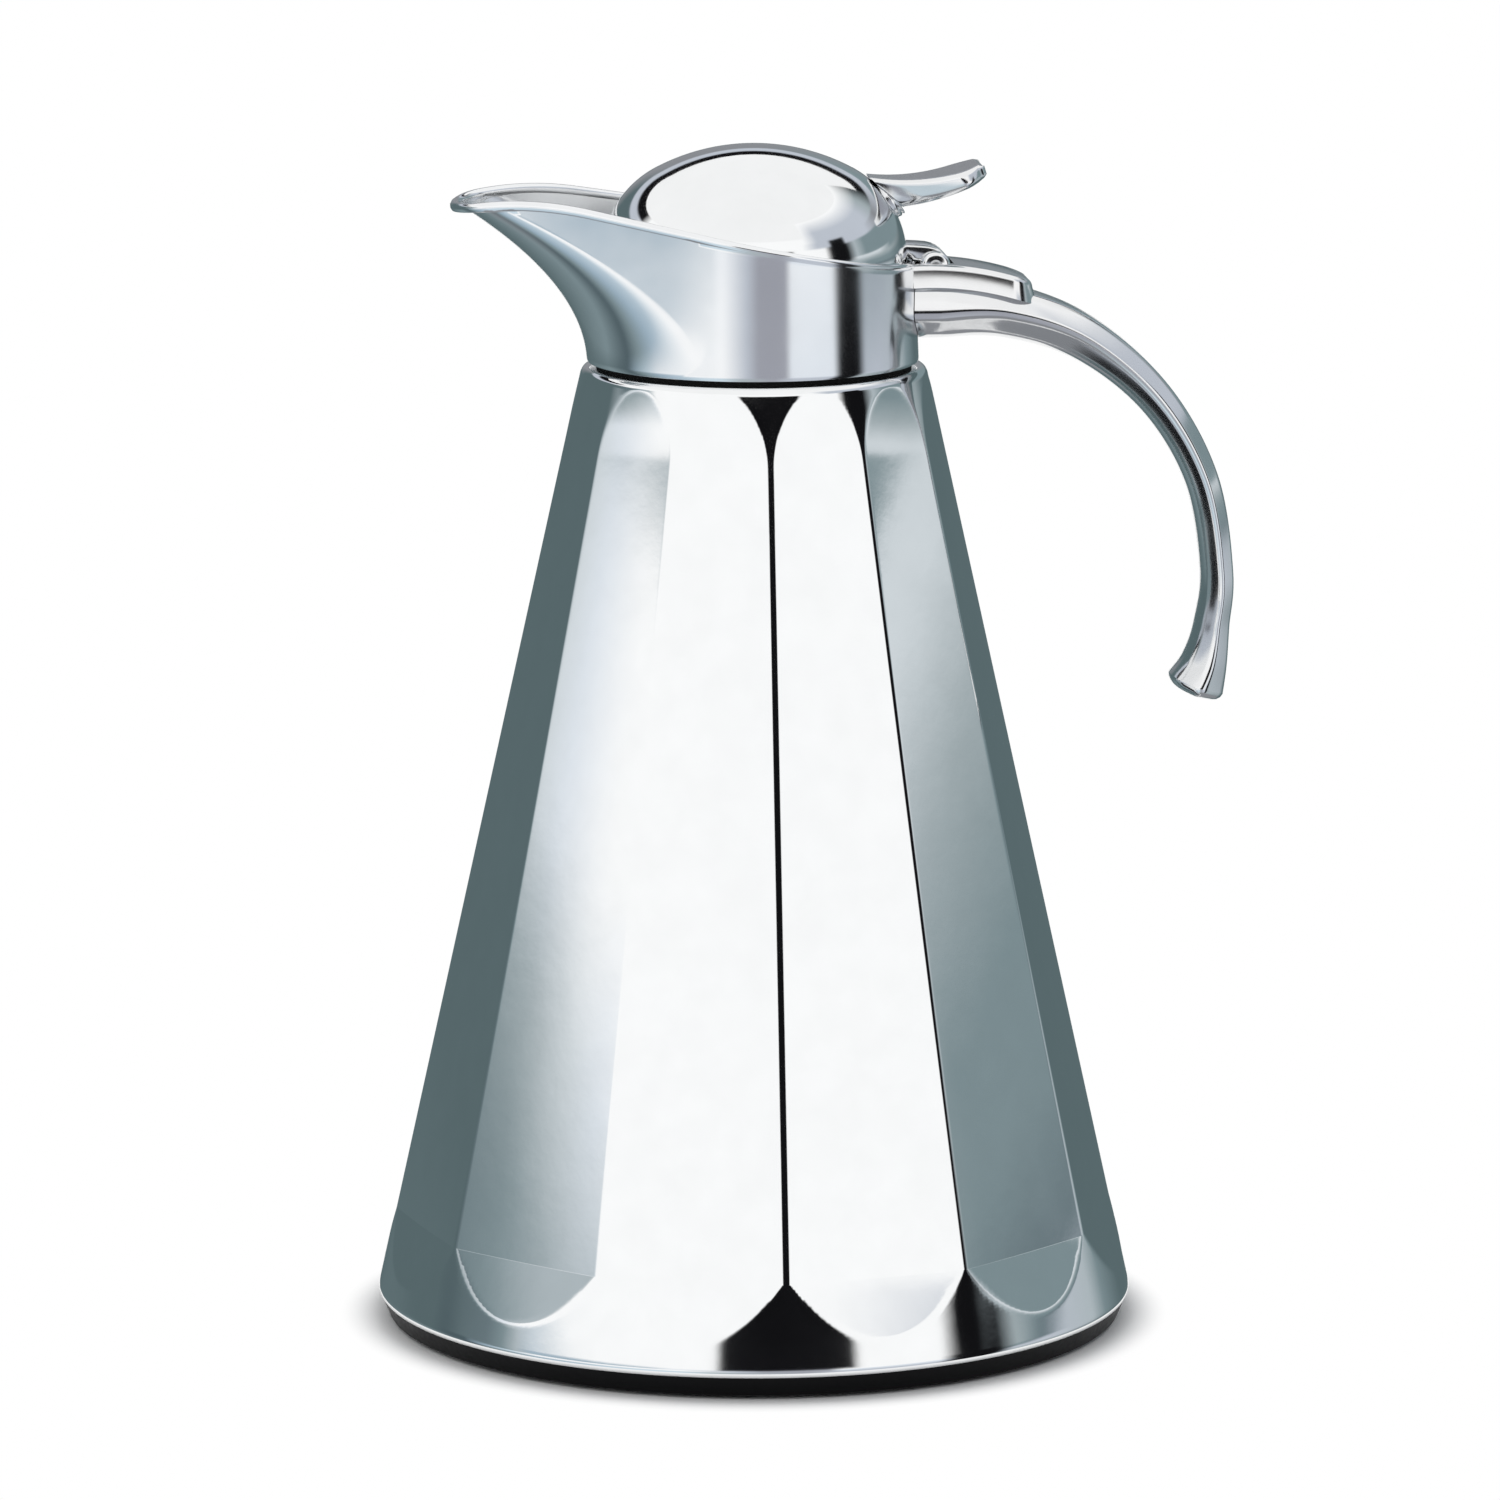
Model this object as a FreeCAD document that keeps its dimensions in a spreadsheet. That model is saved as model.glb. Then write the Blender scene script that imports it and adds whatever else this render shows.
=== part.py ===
import FreeCAD, Part
import math
import os
import Sketcher
from FreeCAD import Placement, Rotation, Vector

# Insulated flip-lid coffee pot: a twelve-sided steel cone on a black base,
# a pouring collar with a broad lip, a cast handle and a hinged dome lid.
# Millimetres, centre of the base on the table, Z up, spout towards minus X.

os.makedirs("parts", exist_ok=True)
doc = FreeCAD.newDocument("coffee_pot")
sheet = doc.addObject("Spreadsheet::Sheet", "dims")

# Driving sizes of the pot
DRIVING = {
    # outer shell
    "facet_count": 12,
    "shell_foot_r": 76.3,
    "shell_foot_z": 3.5,
    "shell_top_r": 34.4,
    "shell_top_z": 193.0,
    "shell_wall": 0.8,
    "foot_round": 4.0,
    "shoulder_round": 1.8,
    "edge_strip": 2.2,
    "lower_flat_rise": 18.5,
    "lower_runout_r": 41.0,
    "upper_flat_drop": 21.0,
    "upper_runout_r": 180.0,
    "flange_width": 10.3,
    # neck and flask
    "shoulder_width": 8.0,
    "neck_rise": 11.0,
    "neck_gap": 0.2,
    "flask_wall": 0.8,
    "flask_foot_gap": 10.3,
    "flask_foot_rise": 8.5,
    "flask_top_gap": 5.4,
    "flask_top_drop": 11.0,
    "flask_neck_drop": 4.0,
    "flask_foot_round": 12.0,
    "flask_shoulder_round": 8.0,
    "lip_height": 1.2,
    # base
    "plate_inset": 6.9,
    "plate_sheet": 0.8,
    "plate_rise": 2.0,
    "seal_button_r": 6.0,
    "getter_r": 6.0,
    "getter_height": 2.5,
    "cover_inset": 5.7,
    "foot_height": 0.6,
    "pad_inset": 5.6,
    "pad_height": 2.0,
    # collar and spout
    "collar_gap": 1.5,
    "collar_inset": 1.6,
    "collar_taper": 1.3,
    "collar_wall": 1.0,
    "collar_floor": 2.2,
    "lip_rise": 12.7,
    "spout_lean": 2.5,
    "spout_flare": 24.4,
    "spout_tip_r": 14.0,
    "rim_slope": 0.195,
    "rim_crest_r": 62.0,
    "nut_width": 3.1,
    "nut_height": 4.0,
    # handle
    "handle_out": 3.0,
    "handle_drop": 8.15,
    "handle_r": 54.35,
    "handle_width": 16.0,
    "block_width": 18.0,
    "screw_r": 1.5,
    # hinge
    "hinge_gap": 0.58,
    "hinge_drop": 1.0,
    "knuckle_r": 3.0,
    "pin_r": 1.5,
    "leaf_width": 8.4,
    "running_gap": 0.05,
    "side_gap": 0.3,
    # lid
    "dome_gap": 0.62,
    "dome_rise": 6.3,
    "dome_overlap": 2.5,
    "dome_skirt": 2.8,
    "dome_turn_r": 20.0,
    "dome_crown_r": 42.0,
    "dome_wall": 0.9,
    "liner_sheet": 1.5,
    "stopper_gap": 3.1,
    "stopper_depth": 5.6,
    "seal_inset": 0.25,
    "seal_height": 1.8,
    "stud_r": 2.0,
    # thumb lever
    "lever_angle": 35.0,
    "ferrule_r": 4.2,
    "ferrule_height": 1.2,
    "lever_width": 17.5,
    "lever_root_width": 9.5,
    "fit_gap": 0.1,
}


class Size:
    """A number kept together with the spreadsheet expression that gives it."""

    def __init__(self, value, text):
        self.value = value
        self.text = text

    def __add__(self, other):
        return joined(self, "+", other)

    def __radd__(self, other):
        return joined(other, "+", self)

    def __sub__(self, other):
        return joined(self, "-", other)

    def __rsub__(self, other):
        return joined(other, "-", self)

    def __mul__(self, other):
        return joined(self, "*", other)

    def __rmul__(self, other):
        return joined(other, "*", self)

    def __truediv__(self, other):
        return joined(self, "/", other)

    def __rtruediv__(self, other):
        return joined(other, "/", self)

    def __neg__(self):
        return joined(0, "-", self)


def as_size(number):
    """Wrap a plain number so that it can be joined with a sheet size."""
    if isinstance(number, Size):
        return number
    return Size(float(number), "(%.6f)" % number)


def joined(left, sign, right):
    """Join two sizes with one of the four signs."""
    a = as_size(left)
    b = as_size(right)
    results = {
        "+": a.value + b.value,
        "-": a.value - b.value,
        "*": a.value * b.value,
        "/": a.value / b.value if b.value else 0.0,
    }
    return Size(results[sign], "(%s %s %s)" % (a.text, sign, b.text))


def root(number):
    number = as_size(number)
    return Size(math.sqrt(number.value), "sqrt(%s)" % number.text)


def cosine(degrees):
    degrees = as_size(degrees)
    return Size(math.cos(math.radians(degrees.value)), "cos(%s)" % degrees.text)


def sine(degrees):
    degrees = as_size(degrees)
    return Size(math.sin(math.radians(degrees.value)), "sin(%s)" % degrees.text)


def arc_tangent(number):
    number = as_size(number)
    return Size(math.degrees(math.atan(number.value)), "(atan(%s) / 1deg)" % number.text)


class Sheet:
    """The driving sizes by name."""


size = Sheet()
for row, (name, number) in enumerate(DRIVING.items(), start=1):
    sheet.set("A%d" % row, name)
    sheet.set("B%d" % row, str(number))
    sheet.setAlias("B%d" % row, name)
    setattr(size, name, Size(float(number), "dims." + name))
doc.recompute()

# Sizes that follow from the driving ones, so that the pieces stay fitted when one is changed
size.lower_flat_z = size.shell_foot_z + size.lower_flat_rise
size.upper_flat_z = size.shell_top_z - size.upper_flat_drop
size.flange_r = size.shell_foot_r - size.flange_width
size.neck_r = size.shell_top_r - size.shoulder_width
size.neck_top_z = size.shell_top_z + size.neck_rise
size.flask_foot_r = size.shell_foot_r - size.flask_foot_gap
size.flask_foot_z = size.shell_foot_z + size.flask_foot_rise
size.flask_top_r = size.shell_top_r - size.flask_top_gap
size.flask_top_z = size.shell_top_z - size.flask_top_drop
size.flask_neck_z = size.shell_top_z - size.flask_neck_drop
size.plate_r = size.shell_foot_r - size.plate_inset
size.cover_r = size.shell_foot_r - size.cover_inset
size.pad_r = size.cover_r - size.pad_inset
collar_z = size.shell_top_z + size.collar_gap
flask_neck_r = size.neck_r - size.shell_wall - size.neck_gap
mouth_r = flask_neck_r - size.flask_wall
lip_z = size.neck_top_z + size.lip_height
size.dome_edge_z = lip_z + size.dome_rise
size.dome_turn_z = size.dome_edge_z + size.dome_skirt
size.rim_back_z = size.dome_edge_z + size.dome_overlap
size.spout_rise = size.rim_back_z - collar_z + size.lip_rise
size.collar_r = size.shell_top_r - size.collar_inset
rim_wall_r = size.collar_r - 0.6 * size.collar_taper
size.dome_r = rim_wall_r - size.collar_wall - size.dome_gap
size.hinge_x = rim_wall_r + size.knuckle_r + size.hinge_gap
size.hinge_z = size.rim_back_z - size.hinge_drop
size.handle_x = size.hinge_x + size.handle_out
size.handle_z = size.hinge_z - size.handle_drop - size.handle_r
size.stopper_r = mouth_r - size.stopper_gap
size.seal_width = size.neck_r - size.seal_inset - size.stopper_r + 0.45


def bind(target, path, amount):
    """Tie a property to the sheet when its size comes from there."""
    if isinstance(amount, Size):
        target.setExpression(path, amount.text)


def new_body(name):
    return doc.addObject("PartDesign::Body", name)


def sketch_on(body, plane, x=0, y=0, z=0, axis=None, degrees=0):
    """A sketch on one of the body's own origin planes, moved within that plane's axes."""
    sketch = body.newObject("Sketcher::SketchObject", body.Name + "_sketch")
    for feature in body.Origin.OriginFeatures:
        if feature.Role == plane:
            sketch.AttachmentSupport = [(feature, "")]
    sketch.MapMode = "FlatFace"
    spot = [as_size(x), as_size(y), as_size(z)]
    turn = Rotation(axis, degrees) if axis else Rotation()
    sketch.AttachmentOffset = Placement(Vector(*[s.value for s in spot]), turn)
    for letter, amount in zip("xyz", (x, y, z)):
        bind(sketch, "AttachmentOffset.Base." + letter, amount)
    return sketch


def pin_point(sketch, element, end, x, y):
    """Hold one end of a line or arc at a sheet position."""
    for kind, amount, line in (("DistanceX", x, -2), ("DistanceY", y, -1)):
        number = as_size(amount).value
        if abs(number) < 1e-9:
            sketch.addConstraint(Sketcher.Constraint("PointOnObject", element, end, line))
        else:
            index = sketch.addConstraint(Sketcher.Constraint(kind, -1, 1, element, end, number))
            bind(sketch, "Constraints[%d]" % index, amount)


def outline(sketch, path):
    """A closed outline. A point (x, y) is reached by a line, (x, y, radius, turn) by an arc."""
    ends = []
    for index, point in enumerate(path):
        before = path[index - 1]
        p = Vector(as_size(before[0]).value, as_size(before[1]).value, 0)
        q = Vector(as_size(point[0]).value, as_size(point[1]).value, 0)
        if len(point) == 2:
            element = sketch.addGeometry(Part.LineSegment(p, q), False)
            ends.append((element, 1, 2))
            continue
        radius = as_size(point[2]).value
        half = (q - p) * 0.5
        across = Vector(-half.y, half.x, 0)
        across.normalize()
        lift = math.sqrt(max(radius * radius - half.Length ** 2, 0.0))
        centre = p + half + across * lift * point[3]
        first, last = (p, q) if point[3] > 0 else (q, p)
        a0 = math.atan2(first.y - centre.y, first.x - centre.x)
        a1 = math.atan2(last.y - centre.y, last.x - centre.x)
        circle = Part.Circle(centre, Vector(0, 0, 1), radius)
        element = sketch.addGeometry(Part.ArcOfCircle(circle, a0, a1), False)
        ends.append((element, 1, 2) if point[3] > 0 else (element, 2, 1))
        hold = sketch.addConstraint(Sketcher.Constraint("Radius", element, radius))
        bind(sketch, "Constraints[%d]" % hold, point[2])
    for index, point in enumerate(path):
        element, start, end = ends[index]
        following, next_start, next_end = ends[(index + 1) % len(path)]
        sketch.addConstraint(Sketcher.Constraint("Coincident", element, end, following, next_start))
        pin_point(sketch, element, end, point[0], point[1])
    return sketch


def ring(sketch, x, y, radius):
    """A full circle in a sketch."""
    r = as_size(radius).value
    centre = Vector(as_size(x).value, as_size(y).value, 0)
    element = sketch.addGeometry(Part.Circle(centre, Vector(0, 0, 1), r), False)
    hold = sketch.addConstraint(Sketcher.Constraint("Radius", element, r))
    bind(sketch, "Constraints[%d]" % hold, radius)
    pin_point(sketch, element, 3, x, y)
    return sketch


def turn_about_axis(body, path, kind="Revolution"):
    """Revolve an outline drawn in the upright plane about the pot's axis."""
    sketch = outline(sketch_on(body, "XZ_Plane"), path)
    feature = body.newObject("PartDesign::" + kind, body.Name + "_turn")
    feature.Profile = sketch
    feature.ReferenceAxis = (sketch, ["V_Axis"])
    feature.Angle = 360
    doc.recompute()
    return feature


def extrude(body, sketch, kind, length, side="One side", back=False):
    """Pad or Pocket a sketch by a length."""
    feature = body.newObject("PartDesign::" + kind, body.Name + "_" + kind.lower())
    feature.Profile = sketch
    feature.Length = as_size(length).value
    bind(feature, "Length", length)
    feature.SideType = side
    feature.Reversed = back
    doc.recompute()
    return feature


def round_edges(body, feature, radius, wanted):
    """Fillet the edges that the test function picks."""
    names = []
    for index, edge in enumerate(feature.Shape.Edges, start=1):
        if wanted(edge):
            names.append("Edge%d" % index)
    fillet = body.newObject("PartDesign::Fillet", body.Name + "_round")
    fillet.Base = (feature, names)
    fillet.Radius = as_size(radius).value
    bind(fillet, "Radius", radius)
    doc.recompute()
    return fillet


def circle_at(radius, z):
    """Test for the circular edge of a radius at a height."""
    r = as_size(radius).value
    height = as_size(z).value

    def test(edge):
        box = edge.BoundBox
        level = abs(box.ZMin - height) < 0.01 and abs(box.ZMax - height) < 0.01
        return level and abs(box.XMax - r) < 0.05

    return test


def turned(name, path):
    """A body that is one revolved outline."""
    body = new_body(name)
    turn_about_axis(body, path)
    return body


def cut(name, base, tool):
    result = doc.addObject("Part::Cut", name)
    result.Base = base
    result.Tool = tool
    doc.recompute()
    return result


nodes = []


def keep(node):
    """List a finished piece for export under its own name."""
    nodes.append(node)
    return node


# Outer shell, a straight cone pressed into flats that run out into round ends
cone_lean = (size.shell_foot_r - size.shell_top_r) / (size.shell_top_z - size.shell_foot_z)
cone_angle = arc_tangent(cone_lean)
flat_half_angle = 180 / size.facet_count


def cone_r(z):
    """Radius over the facet edges at a height."""
    return size.shell_foot_r - cone_lean * (z - size.shell_foot_z)


def flat_r(z):
    """Distance of a flat from the axis, leaving a narrow round strip along each edge."""
    radius = cone_r(z)
    return radius * cosine(flat_half_angle - 28.648 * size.edge_strip / radius)


flange_top_z = size.shell_foot_z + size.shell_wall


def shell_form(name, inset):
    """The shell's outside, or its inside when an inset is given."""
    inner = as_size(inset).value > 0
    wall = inset / cosine(cone_angle) if inner else 0
    foot_z = size.shell_foot_z + inset
    top_z = size.shell_top_z - inset
    foot_r = cone_r(foot_z) - wall
    top_r = cone_r(top_z) - wall
    body = new_body(name)
    path = [(0, foot_z), (foot_r, foot_z), (top_r, top_z)]
    path += [(size.neck_r - inset, top_z)]
    over = 1 if inner else 0
    path += [(size.neck_r - inset, size.neck_top_z + over), (0, size.neck_top_z + over)]
    turn_about_axis(body, path)
    body_feature = round_edges(body, body.Tip, size.foot_round - inset, circle_at(foot_r, foot_z))
    body_feature = round_edges(body, body_feature, size.shoulder_round - inset, circle_at(top_r, top_z))
    low = size.lower_flat_z
    high = size.upper_flat_z
    out_x = cosine(cone_angle)
    out_z = sine(cone_angle)
    low_x = flat_r(low) - wall
    high_x = flat_r(high) - wall
    low_r = size.lower_runout_r + inset
    high_r = size.upper_runout_r + inset
    low_swing = cone_angle + 26
    high_swing = cone_angle - 7
    low_end_x = low_x + low_r * (out_x - cosine(low_swing))
    low_end_z = low + low_r * (out_z - sine(low_swing))
    high_end_x = high_x + high_r * (out_x - cosine(high_swing))
    high_end_z = high + high_r * (out_z - sine(high_swing))
    far = size.shell_foot_r + 20
    panel = sketch_on(body, "XZ_Plane", axis=Vector(0, 1, 0), degrees=flat_half_angle.value)
    outline(panel, [
        (low_x, low),
        (low_end_x, low_end_z, low_r, -1),
        (far, low_end_z),
        (far, high_end_z),
        (high_end_x, high_end_z),
        (high_x, high, high_r, -1),
    ])
    pocket = extrude(body, panel, "Pocket", size.shell_foot_r, "Symmetric")
    pattern = body.newObject("PartDesign::PolarPattern", name + "_facets")
    pattern.Originals = [pocket]
    for feature in body.Origin.OriginFeatures:
        if feature.Role == "Z_Axis":
            pattern.Axis = (feature, [""])
    pattern.Angle = 360
    pattern.Occurrences = int(size.facet_count.value)
    bind(pattern, "Occurrences", size.facet_count)
    body.Tip = pattern
    doc.recompute()
    return body


shell_outside = shell_form("shell_outside", 0)
shell_inside = shell_form("shell_inside", size.shell_wall)
closed_shell = cut("closed_shell", shell_outside, shell_inside)
flange_opening = doc.addObject("Part::Cylinder", "flange_opening")
bind(flange_opening, "Radius", size.flange_r)
bind(flange_opening, "Height", flange_top_z + 1)
doc.recompute()
keep(cut("outer_shell", closed_shell, flange_opening))

# Inner flask with its rolled mouth, standing inside the shell with the vacuum space between


def flask_form(name, inset):
    """The flask's outside, or the room inside it when an inset is given."""
    inner = as_size(inset).value > 0
    body = new_body(name)
    foot_z = size.flask_foot_z + inset
    path = [(0, foot_z), (size.flask_foot_r - inset, foot_z), (size.flask_top_r - inset, size.flask_top_z)]
    path += [(flask_neck_r - inset, size.flask_neck_z)]
    if inner:
        path += [(flask_neck_r - inset, lip_z + 1), (0, lip_z + 1)]
    else:
        path += [(flask_neck_r, size.neck_top_z), (size.neck_r, size.neck_top_z)]
        path += [(size.neck_r, lip_z), (0, lip_z)]
    turn_about_axis(body, path)
    foot = circle_at(size.flask_foot_r - inset, foot_z)
    feature = round_edges(body, body.Tip, size.flask_foot_round - inset, foot)
    shoulder = circle_at(size.flask_top_r - inset, size.flask_top_z)
    round_edges(body, feature, size.flask_shoulder_round - inset, shoulder)
    return body


flask_outside = flask_form("flask_outside", 0)
flask_inside = flask_form("flask_inside", size.flask_wall)
keep(cut("inner_flask", flask_outside, flask_inside))

# Pressed plate that closes the vacuum space, with its seal button and getter
plate_low = flange_top_z
plate_high = plate_low + size.plate_rise
button_hole = size.seal_button_r - 2
plate = turned("bottom_plate", [
    (button_hole, plate_high),
    (48, plate_high),
    (53, plate_low),
    (size.plate_r, plate_low),
    (size.plate_r, plate_low + size.plate_sheet),
    (53.3, plate_low + size.plate_sheet),
    (48.3, plate_high + size.plate_sheet),
    (button_hole, plate_high + size.plate_sheet),
])
keep(plate)
keep(turned("vacuum_seal", [
    (0, plate_high - 1),
    (size.seal_button_r, plate_high - 1),
    (size.seal_button_r, plate_high),
    (button_hole - 0.05, plate_high),
    (button_hole - 0.05, plate_high + size.plate_sheet),
    (0, plate_high + size.plate_sheet),
]))
getter = new_body("getter_capsule")
getter_top = plate_high + size.plate_sheet
getter_sketch = ring(sketch_on(getter, "XY_Plane", z=getter_top), 25, 0, size.getter_r)
extrude(getter, getter_sketch, "Pad", size.getter_height)
keep(getter)

# Black base cover under the shell and the rubber pad set into it
spigot_r = size.flange_r - 0.25
cover_round = 0.6
keep(turned("base_cover", [
    (0, size.pad_height),
    (size.pad_r, size.pad_height),
    (size.pad_r, size.foot_height),
    (size.cover_r - cover_round, size.foot_height),
    (size.cover_r, size.foot_height + cover_round, cover_round, 1),
    (size.cover_r, size.shell_foot_z),
    (spigot_r, size.shell_foot_z),
    (spigot_r, size.shell_foot_z + 0.6),
    (spigot_r - 2.2, size.shell_foot_z + 0.6),
    (spigot_r - 2.2, size.pad_height + 1),
    (0, size.pad_height + 1),
]))
pad_edge = size.pad_r - 0.05
keep(turned("foot_pad", [
    (0, 0),
    (pad_edge - 0.4, 0),
    (pad_edge, 0.4),
    (pad_edge, size.pad_height),
    (0, size.pad_height),
]))

# Black ring between the shoulder and the collar
floor_z = collar_z + size.collar_floor
bore_r = size.neck_r + 0.3
keep(turned("neck_seal", [
    (bore_r, size.shell_top_z),
    (size.collar_r - 1.4, size.shell_top_z),
    (size.collar_r - 1.4, collar_z),
    (bore_r, collar_z),
]))

# Pouring collar: a round wall that draws out into a broad lip, open at the top


def back_r(step):
    """Radius of the round back wall, a share of the way up."""
    return size.collar_r - size.collar_taper * step


def spout_reach(step):
    """How far the front stands from the axis, a share of the way up."""
    return size.collar_r + 0.5 + size.spout_lean * step + size.spout_flare * step * step


def collar_section(body, step, inset):
    """One level outline: round back, round nose and the two straight sides that touch both."""
    grown = (spout_reach(step) - size.collar_r - 0.5) / (size.spout_lean + size.spout_flare)
    nose_r = size.collar_r - 0.5 - (size.collar_r - 0.5 - size.spout_tip_r) * grown
    nose_x = spout_reach(step) - nose_r
    tilt = (back_r(step) - nose_r) / nose_x
    flat = root(1 - tilt * tilt)
    wide = back_r(step) - inset
    nose = nose_r - inset
    level = collar_z + size.spout_rise * step
    sketch = sketch_on(body, "XY_Plane", z=level)
    outline(sketch, [
        (-(wide * tilt), wide * flat, wide, 1),
        (-(nose_x + nose * tilt), nose * flat),
        (-(nose_x + nose), 0, nose, 1),
        (-(nose_x + nose * tilt), -(nose * flat), nose, 1),
        (-(wide * tilt), -(wide * flat)),
        (wide, 0, wide, 1),
    ])
    return sketch


def loft(body, sketches, kind):
    feature = body.newObject("PartDesign::" + kind, body.Name + "_loft")
    feature.Profile = sketches[0]
    feature.Sections = sketches[1:]
    doc.recompute()
    return feature


collar_steps = [0.0, 0.18, 0.36, 0.54, 0.72, 0.9, 1.09]
collar = new_body("spout_collar")
loft(collar, [collar_section(collar, step, 0) for step in collar_steps], "AdditiveLoft")
floor_step = size.collar_floor / size.spout_rise
inner_steps = [floor_step] + collar_steps[1:-1] + [1.12]
loft(collar, [collar_section(collar, step, size.collar_wall) for step in inner_steps], "SubtractiveLoft")

# The rim slopes up from the hinge, bends over a crest and falls a little to the tip of the lip
rim_back_x = size.collar_r - 1.8
rim_bend_x = -(size.collar_r + 1.2)
rim_bend_z = size.rim_back_z + size.rim_slope * (rim_back_x - rim_bend_x)
rim_angle = arc_tangent(size.rim_slope)
rim_swing = 22
tip_x = rim_bend_x - size.rim_crest_r * (sine(rim_angle) + sine(rim_swing))
tip_z = rim_bend_z + size.rim_crest_r * (cosine(rim_swing) - cosine(rim_angle))
above_rim = outline(sketch_on(collar, "XZ_Plane"), [
    (rim_back_x + 14, size.rim_back_z - size.rim_slope * 14),
    (rim_back_x + 14, size.rim_back_z + 31),
    (tip_x, size.rim_back_z + 31),
    (tip_x, tip_z),
    (rim_bend_x, rim_bend_z, size.rim_crest_r, -1),
])
extrude(collar, above_rim, "Pocket", 100, "Symmetric")
bore = ring(sketch_on(collar, "XY_Plane", z=collar_z - 1), 0, 0, bore_r)
extrude(collar, bore, "Pocket", size.collar_floor + 2, "One side", True)
upper_screw_z = size.hinge_z - size.knuckle_r - 1.8
screw_heights = [upper_screw_z - 5.2, upper_screw_z]
for height in screw_heights:
    hole = ring(sketch_on(collar, "YZ_Plane", z=size.collar_r - 7.8), 0, height, size.screw_r + 0.2)
    extrude(collar, hole, "Pocket", 12, "One side", True)
keep(collar)

# Slotted ring nut that clamps the collar on the neck
nut = new_body("neck_nut")
nut_inner = size.neck_r + size.fit_gap
turn_about_axis(nut, [
    (nut_inner, floor_z),
    (nut_inner + size.nut_width, floor_z),
    (nut_inner + size.nut_width, floor_z + size.nut_height),
    (nut_inner, floor_z + size.nut_height),
])
notch = outline(sketch_on(nut, "XZ_Plane"), [
    (nut_inner - 2, floor_z + size.nut_height - 1.6),
    (nut_inner + size.nut_width + 2, floor_z + size.nut_height - 1.6),
    (nut_inner + size.nut_width + 2, floor_z + size.nut_height + 2),
    (nut_inner - 2, floor_z + size.nut_height + 2),
])
notch_cut = extrude(nut, notch, "Pocket", 4, "Symmetric")
notches = nut.newObject("PartDesign::PolarPattern", "nut_notches")
notches.Originals = [notch_cut]
for feature in nut.Origin.OriginFeatures:
    if feature.Role == "Z_Axis":
        notches.Axis = (feature, [""])
notches.Angle = 360
notches.Occurrences = 6
nut.Tip = notches
doc.recompute()
keep(nut)

# Handle: a cast crescent with a flared free end, one piece with the hinge block on its root
handle = new_body("handle")
ARCH = [(-12, 7.4, 1.18), (12, 5.6, 1.14), (30, 4.5, 1.08), (50, 3.7, 1.02), (70, 3.3, 1.0), (90, 3.5, 1.0)]
TAIL = [(-0.6, -11.0, 92, 3.8, 1.05), (-1.6, -18.0, 99, 4.5, 1.14), (-3.4, -23.9, 107, 5.5, 1.26)]


def handle_section(x, z, degrees, half, broad):
    """A flat-sided oval across the handle, square to its run."""
    sketch = sketch_on(handle, "XY_Plane", x, 0, z, Vector(0, 1, 0), degrees - 90)
    side = size.handle_width * broad / 2 - half
    outline(sketch, [
        (half, side),
        (0, side + half, half, 1),
        (-half, side, half, 1),
        (-half, -side),
        (0, -(side + half), half, 1),
        (half, -side, half, 1),
    ])
    return sketch


sections = []
for degrees, half, broad in ARCH:
    x = size.handle_x + size.handle_r * sine(degrees)
    z = size.handle_z + size.handle_r * cosine(degrees)
    sections.append(handle_section(x, z, degrees, half, broad))
for shift_x, shift_z, degrees, half, broad in TAIL:
    x = size.handle_x + size.handle_r + shift_x
    sections.append(handle_section(x, size.handle_z + shift_z, degrees, half, broad))
loft(handle, sections, "AdditiveLoft")
block_top = size.hinge_z + 0.4
half_block = size.block_width / 2
block_end = size.hinge_x + 20.5
corner = 5.5
block = outline(sketch_on(handle, "XY_Plane", z=size.hinge_z - 10), [
    (size.hinge_x - 3, -half_block),
    (block_end - corner, -half_block),
    (block_end, corner - half_block, corner, 1),
    (block_end, half_block - corner),
    (block_end - corner, half_block, corner, 1),
    (size.hinge_x - 3, half_block),
])
extrude(handle, block, "Pad", 12)
above_block = outline(sketch_on(handle, "XZ_Plane"), [
    (size.hinge_x - 8, block_top - 4),
    (size.hinge_x + 2, block_top),
    (block_end - 2, size.hinge_z - 2.9, 60, -1),
    (block_end + 0.2, size.hinge_z - 5, 2.2, -1),
    (block_end + 4, size.hinge_z - 5),
    (block_end + 4, size.hinge_z + 8),
    (size.hinge_x - 8, size.hinge_z + 8),
])
topped = extrude(handle, above_block, "Pocket", 60, "Symmetric")


def block_rim(edge):
    """Edges around the block's top face."""
    box = edge.BoundBox
    middle = edge.CenterOfMass
    high = box.ZMin > size.hinge_z.value - 5.1 and box.XMax > size.hinge_x.value + 3
    return high and abs(middle.y) > 1 and box.XMax - box.XMin > 0.5


round_edges(handle, topped, 1.0, block_rim)
barrel = ring(sketch_on(handle, "XZ_Plane"), size.hinge_x, size.hinge_z, size.knuckle_r)
extrude(handle, barrel, "Pad", size.block_width, "Symmetric")
slot_half = size.leaf_width / 2 + size.side_gap
slot = outline(sketch_on(handle, "XZ_Plane"), [
    (size.hinge_x - 9, size.hinge_z - size.knuckle_r - 0.4),
    (size.hinge_x + size.knuckle_r + 0.8, size.hinge_z - size.knuckle_r - 0.4),
    (size.hinge_x + size.knuckle_r + 0.8, size.hinge_z + 12),
    (size.hinge_x - 9, size.hinge_z + 12),
])
extrude(handle, slot, "Pocket", 2 * slot_half, "Symmetric")
pin_bore = ring(sketch_on(handle, "XZ_Plane"), size.hinge_x, size.hinge_z, size.pin_r + 0.01)
extrude(handle, pin_bore, "Pocket", 40, "Symmetric")
for height in screw_heights:
    hole = ring(sketch_on(handle, "YZ_Plane", z=size.collar_r - 7.8), 0, height, size.screw_r + 0.02)
    extrude(handle, hole, "Pocket", 18, "One side", True)
low_step = -0.3
high_step = 1.0
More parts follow.
